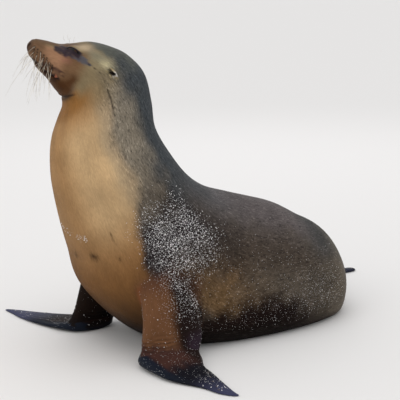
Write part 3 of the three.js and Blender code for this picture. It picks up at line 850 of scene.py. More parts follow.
def paint_head(skin):
    """Crown, brow, temple, cheek, muzzle and chin."""
    mix, t, phi, s, side = skin.mix, skin.t, skin.phi, skin.near, skin.side
    w3 = skin.w3
    mix(JAW_OLIVE, fade(t, 6.4, 5.4) * fade(phi, -40, -16))
    mix(JAW_OLIVE, 0.8 * fade(t, 8.2, 6.6) * bell(phi - 2, 18))
    mix(TEMPLE_OLIVE, fade(t, 7.4, 6.6) * fade(t, 4.4, 5.0) * bell(phi - 34, 14))
    mix(CROWN_GREY, fade(phi + 6 * w3, 40, 54) * fade(t, 4.5, 5.2) * fade(t, 7.8, 7))
    mix(CHEEK, fade(t, 5.4, 4.5) * fade(phi, 50, 20))
    mix(MUZZLE_SIDE, fade(t, 3.9, 3.0) * fade(phi, 60, 30))
    mix(MUZZLE_TOP, fade(t, 4.6, 3.6) * fade(phi, 44, 66))
    mix(MUZZLE_TOP, 0.85 * fade(t + 0.2 * w3, 2.5, 1.6))
    mix(CHIN_BROWN, 0.85 * fade(t, 5.3, 4.8) * fade(phi + 7 * w3, -28, -54) * fade(t, 1.0, 1.8))
    jowl, _, _ = to_line(side, [(-336, 640), (-326, 648), (-315, 656)])
    mix(CHIN_BROWN, 0.9 * bell(jowl + 3 * w3, 11))
    brow = np.hypot((s[:, 1] + 284) / 19, (s[:, 2] - 727) / 9)
    mix(BROW_PALE, 0.95 * bell(brow, 1) * fade(s[:, 0], 20, 38))
    ochre = np.hypot((s[:, 1] + 243) / 17, (s[:, 2] - 689) / 10)
    mix(TEMPLE_OCHRE, 0.95 * bell(ochre, 1) * fade(s[:, 0], 40, 56))
    under, _, _ = to_line(side, [(-262, 690), (-246, 672), (-232, 654)])
    mix(JAW_OLIVE, 0.5 * bell(under, 9))
    mix(NAPE_GREY, 0.9 * bell(np.hypot((s[:, 1] + 202) / 22, (s[:, 2] - 684) / 26), 1))


def paint_eyes(skin):
    """The wet marks and the dark lids, with painted shade in the eye's slit; returns how wet each
    place is.
    """
    mix, t, s, side, w3, w5 = skin.mix, skin.t, skin.near, skin.side, skin.w3, skin.w5
    tear, tear_along, _ = to_line(side, TEAR_MARK)
    wide = np.interp(tear_along, [0, 0.2, 0.5, 0.8, 1], [7, 12, 12.5, 8.5, 2.5])
    wet = fade(tear / wide + 0.12 * w3 + 0.13 * w5, 1.1, 0.6) * (s[:, 0] > 14) * fade(t, 6.4, 5.8)
    mix(TEAR_PURPLE, wet * fade(tear_along, 0.75, 0.45))
    mix(TEAR_SLATE, wet * fade(tear_along, 0.4, 0.65) * (1 + 0.2 * w5))
    mix(CHEEK, 0.35 * wet * fade(w5, 0.1, 0.7))
    along, above, radius = slit_place(skin.head)
    slit = bell(above - 0.4, 3.4) * fade(np.abs(along), 21, 15) * (radius < 30)
    mix(TEAR_PURPLE, 0.95 * (radius < 32) * fade(np.abs(along), 25, 18) * fade(above, 7.5, 4.5)
        * fade(above, -14, -8))
    # dark lid margins, with painted shade in the slit between them
    mix(LID_DARK_AND_SLIT_SHADE, 1.3 * slit)
    return np.clip(wet * 1.2, 0, 1) + slit


def paint_mouth(skin):
    """Lips, nose and whisker pads, and the crease behind the eye, with painted shade in that
    crease, the nostrils and the whisker pits.
    """
    mix, s, side, w3, w5 = skin.mix, skin.near, skin.side, skin.w3, skin.w5
    crease, crease_along, _ = to_line(side, TEMPLE_CREASE)
    broken = fade(np.sin(crease_along * 21), -0.3, 0.3)
    # painted shade along the crease behind the eye
    mix(DARK_MOTTLE_AND_FOLD_SHADE, 0.75 * bell(crease, 1.5) * broken * fade(crease_along, 0.8, 0.6))
    lip, _, lip_side = to_line(side, LIPS)
    lip_front = fade(s[:, 1], -335, -345)
    corner = fade(s[:, 1], -372, -356)
    mix(LIP_DARK, 0.95 * bell(lip / (1 + 0.4 * w3), 4.6 + 2.6 * corner) * lip_front)
    mix(CHIN_BROWN, 0.7 * bell(np.where(lip_side < 0, lip, 99), 11) * lip_front)
    blotch = bell(lip, 8) * fade(w5 + 0.6 * w3, -0.1, 0.5) * lip_front
    mix(LIP_DARK, 0.65 * blotch)
    above_lip, _, _ = to_line(side, [(-378, 691), (-364, 684), (-350, 677), (-338, 670)])
    mix(LIP_BLOTCH, 0.85 * bell(above_lip + 3 * w3, 6.5) * fade(w5 + 0.5 * w3, -0.7, 0.1))
    flush = np.hypot((s[:, 1] + 329) / 13, (s[:, 2] - 698) / 8)
    mix(FLUSH_PINK, 0.4 * bell(flush + 0.2 * w5, 1))
    pink = np.hypot((s[:, 1] + 351) / 2.6, (s[:, 2] - 663) / 5.6)
    mix(LIP_PINK, 0.9 * fade(pink + 0.15 * w5, 1.1, 0.7))
    mix(NOSE_DARK, 0.85 * fade(s[:, 1], -393, -403) * fade(s[:, 2], 712, 722))
    nostril, _, _ = to_line(s[:, [0, 2]], NOSTRIL)
    # painted shade in the nostrils
    mix(DARK_MOTTLE_AND_FOLD_SHADE * 0.3, bell(nostril, 2.2) * fade(s[:, 1], -392, -398))
    pad = np.hypot((s[:, 1] + 376) / 30, (s[:, 2] - 690) / 22)
    mix(DARK_MOTTLE_AND_FOLD_SHADE, 0.36 * bell(pad, 1) * fade(w5 + 0.5 * w3, 0.0, 0.7))
    # painted shade in the whisker pits
    for pit in WHISKER_ROOTS:
        mix(DARK_MOTTLE_AND_FOLD_SHADE * 0.6, 0.95 * bell(np.linalg.norm(s - pit, axis=-1), 2.4))
    for first in (0, 7, 14, 21):
        row, _, _ = to_line(s, WHISKER_ROOTS[first:first + 7])
        mix(DARK_MOTTLE_AND_FOLD_SHADE, 0.5 * bell(row, 1.7))


def paint_folds_and_ears(skin):
    """Throat fold, neck crease and ears, with painted shade in the folds and the ear's hollow and a
    painted highlight on the ear's tip; returns which places are on an ear.
    """
    mix, s, side = skin.mix, skin.near, skin.side
    fold, fold_along, _ = to_line(side, THROAT_FOLD)
    # painted shade in the throat fold and the neck crease
    mix(DARK_MOTTLE_AND_FOLD_SHADE, 0.7 * bell(fold, 3.0) * fade(fold_along, 1, 0.7))
    neck, neck_along, _ = to_line(side, NECK_CREASE)
    mix(DARK_MOTTLE_AND_FOLD_SHADE, 0.7 * bell(neck, 1.6) * fade(neck_along, 0, 0.1) * fade(neck_along, 1, 0.6))
    ear, ear_along = ear_distance(skin.head)
    on_ear = (ear < EAR_RADIUS + 3) & (s[:, 0] > 74) & (ear_along > 0.16)
    mix(EAR_RIM, on_ear * fade(ear, 4.4, 5.6))
    # painted highlight: a bright spot of light on the wet ear's tip
    mix(EAR_TIP_HIGHLIGHT, on_ear * bell(ear_along - 0.8, 0.2)
        * fade(ear, EAR_RADIUS + 2.4, EAR_RADIUS + 1))
    # painted shade in the ear's hollow and round its hole
    mix(DARK_MOTTLE_AND_FOLD_SHADE * 0.5, on_ear * fade(ear, 5.0, 4.0) * fade(ear_along, 0.85, 0.7))
    mix(DARK_MOTTLE_AND_FOLD_SHADE * 0.5, bell(np.linalg.norm(s - EAR_HOLE, axis=-1), 5))
    return on_ear


def paint_legs(skin):
    """Ankles, tail and forelegs; returns where the skin is bare."""
    mix, place, owners, w2, w3 = skin.mix, skin.place, skin.owners, skin.w2, skin.w3
    bare = np.zeros(len(place))
    for name in ("hind_left", "hind_right", "tail"):
        mix(ARM_DARK, fade(skin.lead_of(name), -22, 12) * fade(place[:, 1], 0.26, 0.31))
    for name in ("foreleg_left", "foreleg_right"):
        on = owners == name
        lead = skin.lead_of(name)
        share = fade(lead, -14 - 12 * fade(place[:, 2], 0.14, 0.18), 12)
        arm = share * fade(place[:, 2] + 0.012 * w2, 0.235, 0.185)
        mix(ARM_TOP, arm)
        mix(ARM_BROWN, arm * fade(place[:, 2], 0.22, 0.15))
        mix(ARM_DARK, arm * fade(place[:, 1] + 0.010 * w2 + 0.05 * (place[:, 2] - 0.1),
                                 -0.372, -0.335))
        mix(WRIST, arm * fade(place[:, 2] + 0.008 * w3, 0.058, 0.034)
            * fade(place[:, 1], -0.335, -0.372))
        ring = fade(np.sin((place[:, 2] + 0.0025 * w2 + 0.001 * w3) * 700), 0.1, 0.9)
        wrist = arm * bell(place[:, 2] - 0.046, 0.018) * fade(place[:, 1], -0.345, -0.37)
        mix(ARM_SHADE, 0.45 * ring * wrist)
        joint = bell(lead + 2, 7) * fade(place[:, 2], 0.205, 0.175) * fade(place[:, 2], 0.05, 0.08)
        # painted shade in the crease where the arm meets the chest
        mix(ARM_CREASE_SHADE, 0.6 * joint * fade(place[:, 1], -0.37, -0.40)
            * fade(place[:, 2], 0.2, 0.17))
        # purple bare skin at the back of the wrist, with a painted sheen on it
        mix(ARM_PURPLE_SKIN_AND_SHEEN, arm * fade(place[:, 1], -0.335, -0.305) * fade(place[:, 2], 0.08, 0.045))
        mix(ARM_SHADE, 0.9 * joint * fade(place[:, 1], -0.34, -0.30)
            * fade(place[:, 2], 0.14, 0.11))
        if name.endswith("right"):
            mix(ARM_SHADE, arm * 0.95)
        bare = np.where(on, np.maximum(fade(place[:, 2] + 0.006 * w3, 0.026, 0.020),
                                       fade(place[:, 1], -0.285, -0.27)
                                       * fade(place[:, 2], 0.11, 0.07)), bare)
    return bare


def paint_flippers(skin, bare):
    """Bare slate flippers with fur over the wrist; returns where the skin is bare."""
    mix, place, owners, limb_t, limb_a = (skin.mix, skin.place, skin.owners, skin.limb_t,
                                          skin.limb_a)
    w2, w3 = skin.w2, skin.w3
    for name in ("foreflipper_left", "foreflipper_right", "hind_left", "hind_right"):
        toe = np.array([o.startswith(name + "_toe") for o in owners])
        on = ((owners == name) | toe).astype(float)
        top = np.sin(limb_a) * UP_SIDE[name]
        if name.startswith("hind"):
            hairy = on * fade(limb_t + 0.3 * w3, 4.2, 2.4) * ~toe
            strip = 0 * on
        else:
            # fur runs out over the wrist; the leading edge stays naked
            lead_edge = np.cos(limb_a)
            hairy = on * fade(limb_t + 0.25 * w3, 4.4, 3.0) * fade(top, 0.05, 0.35) * fade(
                lead_edge, -0.80, -0.62)
            strip = on * fade(lead_edge, -0.62, -0.80) * fade(limb_t, 5.5, 4.2)
        mix(SLATE, on)
        if name.startswith("hind"):
            pale = 0.3 * fade(w2 + 0.5 * w3, -0.8, 0.8)
        else:
            pale = fade(limb_t, *PALE_BLADE[name])
        mix(SLATE_PALE, on * pale)
        mix(SLATE_STRIP, strip)
        # the far right wrist gets the darker fur: painted shadow
        mix(WRIST if name.endswith("left") else ARM_DARK, hairy)
        mix(ARM_DARK, hairy * fade(place[:, 1], -0.36, -0.325))
        bare = np.where(on > 0, 1 - hairy, bare)
    return bare


def paint(place):
    """Markings with painted shade and highlights, and coat values for places on the skin."""
    skin = Canvas(place)
    tan = paint_trunk(skin)
    paint_head(skin)
    wet = paint_eyes(skin)
    paint_mouth(skin)
    on_ear = paint_folds_and_ears(skin)
    bare = paint_flippers(skin, paint_legs(skin))
    t, on_trunk = skin.t, skin.owner == 0
    grain = 0.12 + 0.88 * (1 - tan) * fade(t, 5.4, 7) * on_trunk
    for at, around, wide, long in CHEST_SPOTS:
        spot = np.hypot((t - at) / long, (np.degrees(skin.a) % 360 - around) / wide)
        skin.mix(TAN_DEEP * 0.25, bell(spot + 0.3 * skin.w5, 1.2) * on_trunk)
    grain = grain * (1 - bare) * (1 - 0.6 * fade(t, 5.6, 4.6) * on_trunk)
    return {"owner": skin.owner, "t": skin.limb_t, "a": skin.limb_a, "phi": skin.phi,
            "trunk_t": t, "colour": np.clip(skin.colour, 0, 1), "grain": np.clip(grain, 0, 1),
            "bare": np.clip(bare, 0, 1), "wet": np.clip(wet, 0, 1), "ear": on_ear}


def lengths(name):
    """Distance along a length of flesh at each of its sections, in metres."""
    surface, last, coat = FLESH[name]
    t = np.linspace(0, last, 200)
    middle = (surface(t, np.zeros(200), coat) + surface(t, np.full(200, math.pi), coat)) / 2
    run = np.concatenate([[0], np.cumsum(np.linalg.norm(np.diff(middle, axis=0), axis=-1))])
    return t, run


def lie_of_coat(place, values):
    """Which way the hairs lie, and places along and round the hair's own direction."""
    lie, strand, spot = np.zeros_like(place), np.zeros_like(place), np.zeros((len(place), 2))
    for k, name in enumerate(FLESH):
        mine = np.flatnonzero(values["owner"] == k)
        if not len(mine):
            continue
        surface, last, coat = FLESH[name]
        t, a = values["t"][mine], values["a"][mine]
        step = np.where(t + 0.02 > last, -0.02, 0.02)
        d = (surface(t + step, a, coat) - surface(t, a, coat)) / step[:, None]
        lie[mine] = d / np.linalg.norm(d, axis=-1, keepdims=True).clip(1e-9)
        at, run = lengths(name)
        girth = 0.12 if k == 0 else 0.045
        along = np.interp(t, at, run)
        strand[mine] = np.stack([girth * np.cos(a), girth * np.sin(a), along + 3 * k], -1)
        spot[mine] = np.stack([(a / (2 * math.pi)) % 1, along / run[-1]], -1)
    return lie, strand, spot


def store(mesh, name, values, kind="FLOAT"):
    field = {"FLOAT": "value", "FLOAT_VECTOR": "vector", "FLOAT_COLOR": "color"}[kind]
    values = np.asarray(values, np.float32)
    if kind == "FLOAT_COLOR":
        values = np.concatenate([values, np.ones((len(values), 1), np.float32)], 1)
    mesh.attributes.new(name, kind, "POINT").data.foreach_set(field, values.ravel())


skin_place = places(skin_mesh)
values = paint(skin_place)
lie, strand, spot = lie_of_coat(skin_place, values)
store(skin_mesh, "marking_and_painted_light", values["colour"], "FLOAT_COLOR")
store(skin_mesh, "grain", values["grain"])
store(skin_mesh, "bare", values["bare"])
store(skin_mesh, "wet", values["wet"])
store(skin_mesh, "strand", strand, "FLOAT_VECTOR")
store(skin_mesh, "lie", lie, "FLOAT_VECTOR")


# ---------------------------------------------------------------- finishes
class Tree:
    """A node tree with short ways to add and wire nodes."""

    def __init__(self, tree):
        self.tree = tree

    def add(self, kind, inputs=None, **settings):
        made = self.tree.nodes.new(kind)
        for key, value in settings.items():
            setattr(made, key, value)
        for key, value in (inputs or {}).items():
            if isinstance(value, bpy.types.NodeSocket):
                self.tree.links.new(value, made.inputs[key])
            else:
                made.inputs[key].default_value = value
        return made

    def math(self, operation, a, b=0.0, c=0.0):
        made = self.add("ShaderNodeMath", {0: a, 1: b, 2: c}, operation=operation)
        return made.outputs[0]

    def vector(self, operation, a, b):
        return self.add("ShaderNodeVectorMath", {0: a, 1: b}, operation=operation).outputs[0]

    def band(self, value, low, high, to_low=0.0, to_high=1.0):
        made = self.add("ShaderNodeMapRange", {"Value": value, "From Min": low, "From Max": high,
                                               "To Min": to_low, "To Max": to_high},
                        interpolation_type="SMOOTHSTEP")
        return made.outputs["Result"]

    def noise(self, where, scale, detail=2.0, rough=0.5):
        made = self.add("ShaderNodeTexNoise", {"Vector": where, "Scale": scale, "Detail": detail,
                                               "Roughness": rough})
        return made.outputs["Fac"]

    def blend(self, amount, first, second, kind="MIX"):
        made = self.add("ShaderNodeMix", data_type="RGBA", blend_type=kind)
        for key, value in ((0, amount), (6, first), (7, second)):
            if isinstance(value, bpy.types.NodeSocket):
                self.tree.links.new(value, made.inputs[key])
            else:
                made.inputs[key].default_value = value
        return made.outputs[2]

    def attribute(self, name, output="Fac"):
        return self.add("ShaderNodeAttribute", attribute_name=name).outputs[output]


def group(name, inputs, outputs):
    """A shader node group with named sockets; gives its tree, its inputs and its output node."""
    made = bpy.data.node_groups.new(name, "ShaderNodeTree")
    for socket, kind in inputs.items():
        made.interface.new_socket(socket, in_out="INPUT", socket_type=f"NodeSocket{kind}")
    for socket, kind in outputs.items():
        made.interface.new_socket(socket, in_out="OUTPUT", socket_type=f"NodeSocket{kind}")
    tree = Tree(made)
    return tree, tree.add("NodeGroupInput").outputs, tree.add("NodeGroupOutput").inputs


def short_coat_group():
    """Flat short fur and bare skin: streaks, grain and mottling along the lie of the hair, and
    painted shade in the wrinkles of bare skin.
    """
    tree, given, result = group("short coat", {
        "Marking and painted light": "Color", "Strand": "Vector", "Grain": "Float", "Bare": "Float",
        "Wet": "Float", "Tuft": "Float"}, {"Colour": "Color", "Roughness": "Float",
                                          "Height": "Float", "Gloss": "Float"})
    strand = given["Strand"]
    locks = tree.noise(tree.vector("MULTIPLY", strand, (360, 360, 80)), 1.0, 3.0, 0.6)
    hairs = tree.noise(tree.vector("MULTIPLY", strand, (1000, 1000, 140)), 1.0, 2.0)
    flecks = tree.noise(tree.vector("MULTIPLY", strand, (330, 330, 170)), 1.0, 2.0, 0.7)
    mottle = tree.noise(tree.vector("MULTIPLY", strand, (26, 26, 16)), 1.0, 3.0)
    furry = tree.math("SUBTRACT", 1.0, given["Bare"])
    shade = tree.math("MULTIPLY", tree.band(mottle, 0.25, 0.75, 0.9, 1.1),
                      tree.band(locks, 0.25, 0.75, 0.92, 1.08))
    shade = tree.math("MULTIPLY", shade, tree.band(given["Tuft"], 0.0, 1.0, 0.94, 1.06))
    colour = tree.vector("SCALE", given["Marking and painted light"], (0, 0, 0))
    tree.tree.links.new(shade, colour.node.inputs["Scale"])
    light = tree.vector("MULTIPLY_ADD", colour, (1.7, 1.7, 1.7))
    light.node.inputs[2].default_value = (0.035, 0.033, 0.03)
    dark = tree.vector("MULTIPLY", colour, (0.34, 0.34, 0.36))
    grain = tree.math("MULTIPLY", given["Grain"], furry)
    colour = tree.blend(tree.math("MULTIPLY", tree.band(flecks, 0.53, 0.70), tree.math(
        "MULTIPLY", grain, 0.75)), colour, light)
    colour = tree.blend(tree.math("MULTIPLY", tree.band(flecks, 0.47, 0.32), tree.math(
        "MULTIPLY", grain, 0.8)), colour, dark)
    cells = tree.add("ShaderNodeTexVoronoi", {"Vector": tree.vector(
        "MULTIPLY", strand, (260, 260, 200)), "Scale": 1.0}, feature="DISTANCE_TO_EDGE")
    wrinkle = tree.band(cells.outputs["Distance"], 0.0, 0.14)
    # painted shade in the wrinkle grooves of bare skin
    wrinkle_shaded_skin = tree.blend(tree.math("MULTIPLY", tree.band(wrinkle, 1.0, 0.0), 0.35), colour,
                           (0.012, 0.012, 0.016, 1))
    colour = tree.blend(given["Bare"], colour, wrinkle_shaded_skin)
    rough = tree.band(hairs, 0.2, 0.8, 0.46, 0.62)
    rough = tree.math("ADD", rough, tree.math("MULTIPLY", given["Bare"], -0.12))
    rough = tree.math("SUBTRACT", rough, tree.math("MULTIPLY", given["Wet"], 0.28))
    fur = tree.math("ADD", tree.math("MULTIPLY", locks, 0.65), tree.math("MULTIPLY", hairs, 0.35))
    height = tree.math("ADD", tree.math("MULTIPLY", fur, furry),
                       tree.math("MULTIPLY", tree.math("MULTIPLY", wrinkle, 0.6), given["Bare"]))
    gloss = tree.math("MULTIPLY_ADD", given["Bare"], 0.02,
                      tree.math("MULTIPLY", given["Wet"], 0.22))
    for name, value in (("Colour", colour), ("Roughness", rough), ("Height", height),
                        ("Gloss", gloss)):
        tree.tree.links.new(value, result[name])
    return tree.tree


SHORT_COAT = short_coat_group()


def plain_material(name):
    material = bpy.data.materials.new(name)
    material.use_nodes = True
    shader = material.node_tree.nodes["Principled BSDF"]
    return material, Tree(material.node_tree), shader


def coat_material(name, depth, tufts=False):
    material, tree, shader = plain_material(name)
    coat = tree.add("ShaderNodeGroup", node_tree=SHORT_COAT)
    links = tree.tree.links
    links.new(tree.attribute("marking_and_painted_light", "Color"), coat.inputs["Marking and painted light"])
    links.new(tree.attribute("strand", "Vector"), coat.inputs["Strand"])
    for socket in ("Grain", "Bare", "Wet"):
        links.new(tree.attribute(socket.lower()), coat.inputs[socket])
    if tufts:
        links.new(tree.attribute("tint"), coat.inputs["Tuft"])
    else:
        coat.inputs["Tuft"].default_value = 0.5
    bump = tree.add("ShaderNodeBump", {"Strength": 0.5, "Distance": depth,
                                       "Height": coat.outputs["Height"]})
    links.new(coat.outputs["Colour"], shader.inputs["Base Color"])
    links.new(coat.outputs["Roughness"], shader.inputs["Roughness"])
    links.new(bump.outputs["Normal"], shader.inputs["Normal"])
    links.new(coat.outputs["Gloss"], shader.inputs["Coat Weight"])
    shader.inputs["Coat Roughness"].default_value = 0.28
    shader.inputs["Specular IOR Level"].default_value = 0.05
    shader.inputs["Sheen Weight"].default_value = 0.02
    shader.inputs["Sheen Roughness"].default_value = 0.35
    return material


skin = new_object("skin", skin_mesh)
skin_mesh.materials.clear()
skin_mesh.materials.append(coat_material("skin and short fur", 0.0008))
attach(skin, "root")
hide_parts(*[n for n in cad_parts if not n.startswith("eye")])


# ---------------------------------------------------------------- coat
def blade_mesh():
    """One lock of short hair: thin, pointed, arched, 1 long along Y and 1 wide along X."""
    points = [(-0.5, 0, 0), (0.5, 0, 0), (0, 0, 0.5), (-0.42, 0.55, 0.35), (0.42, 0.55, 0.35),
              (0, 0.55, 0.95), (0, 1, 0.25)]
    faces = [(0, 2, 1), (0, 1, 4, 3), (1, 2, 5, 4), (2, 0, 3, 5), (3, 4, 6), (4, 5, 6), (5, 3, 6)]
    mesh = bpy.data.meshes.new("lock")
    mesh.from_pydata(points, [], faces)
    shape = bmesh.new()
    shape.from_mesh(mesh)
    bmesh.ops.recalc_face_normals(shape, faces=shape.faces)
    bmesh.ops.triangulate(shape, faces=shape.faces)
    shape.to_mesh(mesh)
    shape.free()
    layer = mesh.uv_layers.new(name="across")
    for loop in mesh.loops:
        x, y, _ = mesh.vertices[loop.vertex_index].co
        layer.data[loop.index].uv = (x + 0.5, y)
    return mesh


def coat_tree():
    """Scatters locks over the skin, lying along the hair's own direction."""
    made = bpy.data.node_groups.new("coat of short locks", "GeometryNodeTree")
    face = made.interface
    face.new_socket("Skin", in_out="INPUT", socket_type="NodeSocketGeometry")
    for name, kind in (("Lock", "Object"), ("Locks per m2", "Float"), ("Length", "Float"),
                       ("Width", "Float"), ("Thickness", "Float"), ("Lift", "Float"),
                       ("Patch", "Float"), ("Seed", "Int"), ("Finish", "Material")):
        face.new_socket(name, in_out="INPUT", socket_type=f"NodeSocket{kind}")
    face.new_socket("Coat", in_out="OUTPUT", socket_type="NodeSocketGeometry")
    tree = Tree(made)
    given = tree.add("NodeGroupInput").outputs
    result = tree.add("NodeGroupOutput").inputs
    named = lambda name, kind: tree.add("GeometryNodeInputNamedAttribute", {"Name": name},
                                        data_type=kind).outputs["Attribute"]
    scatter = tree.add("GeometryNodeDistributePointsOnFaces", {
        "Mesh": given["Skin"], "Seed": given["Seed"],
        "Density": tree.math("MULTIPLY", given["Locks per m2"], named("coat", "FLOAT"))},
        distribute_method="RANDOM")
    turn = tree.add("FunctionNodeAxesToRotation", {
        "Primary Axis": scatter.outputs["Normal"], "Secondary Axis": named("lie", "FLOAT_VECTOR")},
        primary_axis="Z", secondary_axis="Y")

    def dice(low, high, seed, kind="FLOAT"):
        made = tree.add("FunctionNodeRandomValue", data_type=kind)
        slots = [s for s in made.inputs if s.enabled]
        for slot, value in zip(slots, (low, high)):
            slot.default_value = value
        made.inputs["Seed"].default_value = seed
        return [s for s in made.outputs if s.enabled][0]

    yaw = dice(-0.24, 0.24, 3)
    lift = tree.math("MULTIPLY", given["Lift"], dice(0.4, 1.5, 4))
    tip = tree.add("ShaderNodeCombineXYZ", {"X": lift, "Z": yaw})
    local = tree.add("FunctionNodeEulerToRotation", {"Euler": tip.outputs[0]})
    both = tree.add("FunctionNodeRotateRotation", {"Rotation": turn.outputs[0],
                                                   "Rotate By": local.outputs[0]},
                    rotation_space="LOCAL")
    size = named("lock_size", "FLOAT")
    vary = tree.math("MULTIPLY", size, dice(0.7, 1.25, 5))
    scale = tree.add("ShaderNodeCombineXYZ", {
        "X": tree.math("MULTIPLY", given["Width"], vary),
        "Y": tree.math("MULTIPLY", given["Length"], vary),
        "Z": tree.math("MULTIPLY", given["Thickness"], vary)})
    points = tree.add("GeometryNodeStoreNamedAttribute", {
        "Geometry": scatter.outputs["Points"], "Name": "tint", "Value": dice(0.0, 1.0, 6)},
        data_type="FLOAT", domain="POINT")
    lock = tree.add("GeometryNodeObjectInfo", {"Object": given["Lock"]})
    placed = tree.add("GeometryNodeInstanceOnPoints", {
        "Points": points.outputs[0], "Instance": lock.outputs["Geometry"],
        "Rotation": both.outputs[0], "Scale": scale.outputs[0]})
    real = tree.add("GeometryNodeRealizeInstances", {"Geometry": placed.outputs[0]})
    across = tree.vector("SUBTRACT", named("across", "FLOAT_VECTOR"), (0.5, 0.5, 0))
    spread = tree.add("ShaderNodeVectorMath", {0: across}, operation="SCALE")
    tree.tree.links.new(given["Patch"], spread.inputs["Scale"])
    flat = tree.vector("ADD", named("spot", "FLOAT_VECTOR"), spread.outputs[0])
    mapped = tree.add("GeometryNodeStoreNamedAttribute", {
        "Geometry": real.outputs[0], "Name": "OFBake", "Value": flat},
        data_type="FLOAT2", domain="CORNER")
    done = tree.add("GeometryNodeSetMaterial", {"Geometry": mapped.outputs[0],
                                                "Material": given["Finish"]})
    tree.tree.links.new(done.outputs[0], result["Coat"])
    return made


COAT_TREE = coat_tree()
LOCK = new_object("one lock", blade_mesh())
COAT_FINISH = coat_material("coat of short locks", 0.0003, tufts=True)


def geometry_nodes(mesh, tree, settings):
    """A mesh after a node tree whose named inputs are set, as a plain mesh."""
    piece = new_object("work", mesh)
    modifier = piece.modifiers.new("shape", "NODES")
    modifier.node_group = tree
    for item in tree.interface.items_tree:
        if item.in_out == "INPUT" and item.name in settings:
            modifier[item.identifier] = settings[item.name]
    return finished_mesh(piece)


def skin_part(name, chosen, cover, size, spots):
    """The skin's faces with all corners chosen, with values for the coat on them."""
    shape = bmesh.new()
    shape.from_mesh(skin_mesh)
    shape.verts.ensure_lookup_table()
    gone = [v for v in shape.verts if not chosen[v.index]]
    keep = np.flatnonzero(chosen)
    bmesh.ops.delete(shape, geom=gone, context="VERTS")
    mesh = bpy.data.meshes.new(name)
    shape.to_mesh(mesh)
    shape.free()
    low, high = spots[keep].min(0), spots[keep].max(0)
    spots = 0.01 + 0.98 * (spots[keep] - low) / (high - low)
    store(mesh, "coat", cover[keep])
    store(mesh, "lock_size", size[keep])
    store(mesh, "spot", np.concatenate([spots, np.zeros((len(spots), 1))], 1), "FLOAT_VECTOR")
    return mesh


h = head_place(skin_place)
slit_radius = slit_place(h)[2]
lip_miss = to_line(mirrored(h)[:, 1:], LIPS)[0]
cover = 1 - values["bare"]
cover *= fade(skin_place[:, 2], 0.004, 0.012)
cover *= fade(slit_radius, 19, 27) + (slit_radius > 60)
cover *= fade(lip_miss, 2.0, 4.0)
cover *= fade(h[:, 1], -402, -394)
cover *= 1 - 0.9 * values["wet"]
cover *= 1 - values["ear"]
cover = np.clip(cover, 0, 1)
on_trunk = values["owner"] == 0
size = np.where(on_trunk, np.interp(values["t"], [0, 2, 4.5, 7, 9.5, 13, 19, 23],
                                    [0.22, 0.3, 0.42, 0.62, 0.8, 1.0, 1.0, 0.8]), 0.62)
low_limb = ~on_trunk & (skin_place[:, 2] < 0.12)
size = np.where(low_limb, 0.4, size)
t = values["t"]
PARTS = (("head", on_trunk & (t < 6.9), 150000), ("neck", on_trunk & (t > 6.7) & (t < 10.6), 68000),
         ("chest", on_trunk & (t > 10.4) & (t < 13.6), 46000),
         ("belly", on_trunk & (t > 13.4) & (t < 16.6), 44000),
         ("rump", on_trunk & (t > 16.4), 42000), ("limbs", ~on_trunk, 90000))
for k, (part, chosen, per_m2) in enumerate(PARTS):
    spots = spot.copy()
    if part == "limbs":
        # each limb has its own strip of the map
        spots[:, 0] = (spots[:, 0] + values["owner"]) / len(FLESH)
    mesh = geometry_nodes(skin_part(f"skin under {part}", chosen, cover, size, spots), COAT_TREE, {
        "Lock": LOCK, "Locks per m2": per_m2, "Length": 0.0095, "Width": 0.0021,
        "Thickness": 0.00024, "Lift": 0.014, "Patch": 0.003, "Seed": 11 + k,
        "Finish": COAT_FINISH})
    coat = new_object(f"coat_{part}", mesh)
    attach(coat, "root")
bpy.data.objects.remove(LOCK)


# ---------------------------------------------------------------- eyes, whiskers, claws, sand
def smooth_object(name, mesh, material):
    mesh.materials.clear()
    mesh.materials.append(material)
    mesh.polygons.foreach_set("use_smooth", np.ones(len(mesh.polygons), bool))
    piece = new_object(name, mesh)
    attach(piece, "root")
    return piece


def eye_material():
    material, tree, shader = plain_material("wet dark eye")
    ring = tree.attribute("from_pupil")
    where = tree.add("ShaderNodeTexCoord").outputs["Object"]
    fibre = tree.noise(where, 900, 3.0, 0.7)
    iris = tree.blend(fibre, (0.018, 0.009, 0.005, 1), (0.06, 0.028, 0.014, 1))
    colour = tree.blend(tree.band(ring, 0.26, 0.32), (0.002, 0.002, 0.002, 1), iris)
    colour = tree.blend(tree.band(ring, 0.62, 0.72), colour, (0.03, 0.02, 0.018, 1))
    tree.tree.links.new(colour, shader.inputs["Base Color"])
    tree.tree.links.new(tree.band(fibre, 0.3, 0.7, 0.05, 0.09), shader.inputs["Roughness"])
    shader.inputs["Specular IOR Level"].default_value = 0.1
    shader.inputs["Coat Weight"].default_value = 0.3
    shader.inputs["Coat IOR"].default_value = 1.34
    shader.inputs["Coat Roughness"].default_value = 0.03
    return material


def eyeball(side):
    out, along = SLIT_OUT * [side, 1, 1], SLIT_ALONG * [side, 1, 1]
    up = np.cross(out, along)
    lat = np.radians(np.linspace(1.5, 178.5, 48))
    ring = []
    for angle in lat:
        bulge = 0.7 * float(bell(math.degrees(angle), 26))
        r = EYEBALL_RADIUS + bulge
        turns = np.linspace(0, 2 * math.pi, 64, endpoint=False)
        ring.append([EYEBALL_CENTRE * [side, 1, 1] + r * (
            out * math.cos(angle) + math.sin(angle) * (along * math.cos(b) + up * math.sin(b)))
            for b in turns])
    mesh = closed_tubes("eyeball", [head_to_frame(np.array(ring))])
    store(mesh, "from_pupil", np.repeat(lat, 64))
    return mesh


EYE_FINISH = eye_material()
for name, side in (("eye_left", 1), ("eye_right", -1)):
    ball = smooth_object(f"{name}_ball", eyeball(side), EYE_FINISH)
    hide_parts(name)


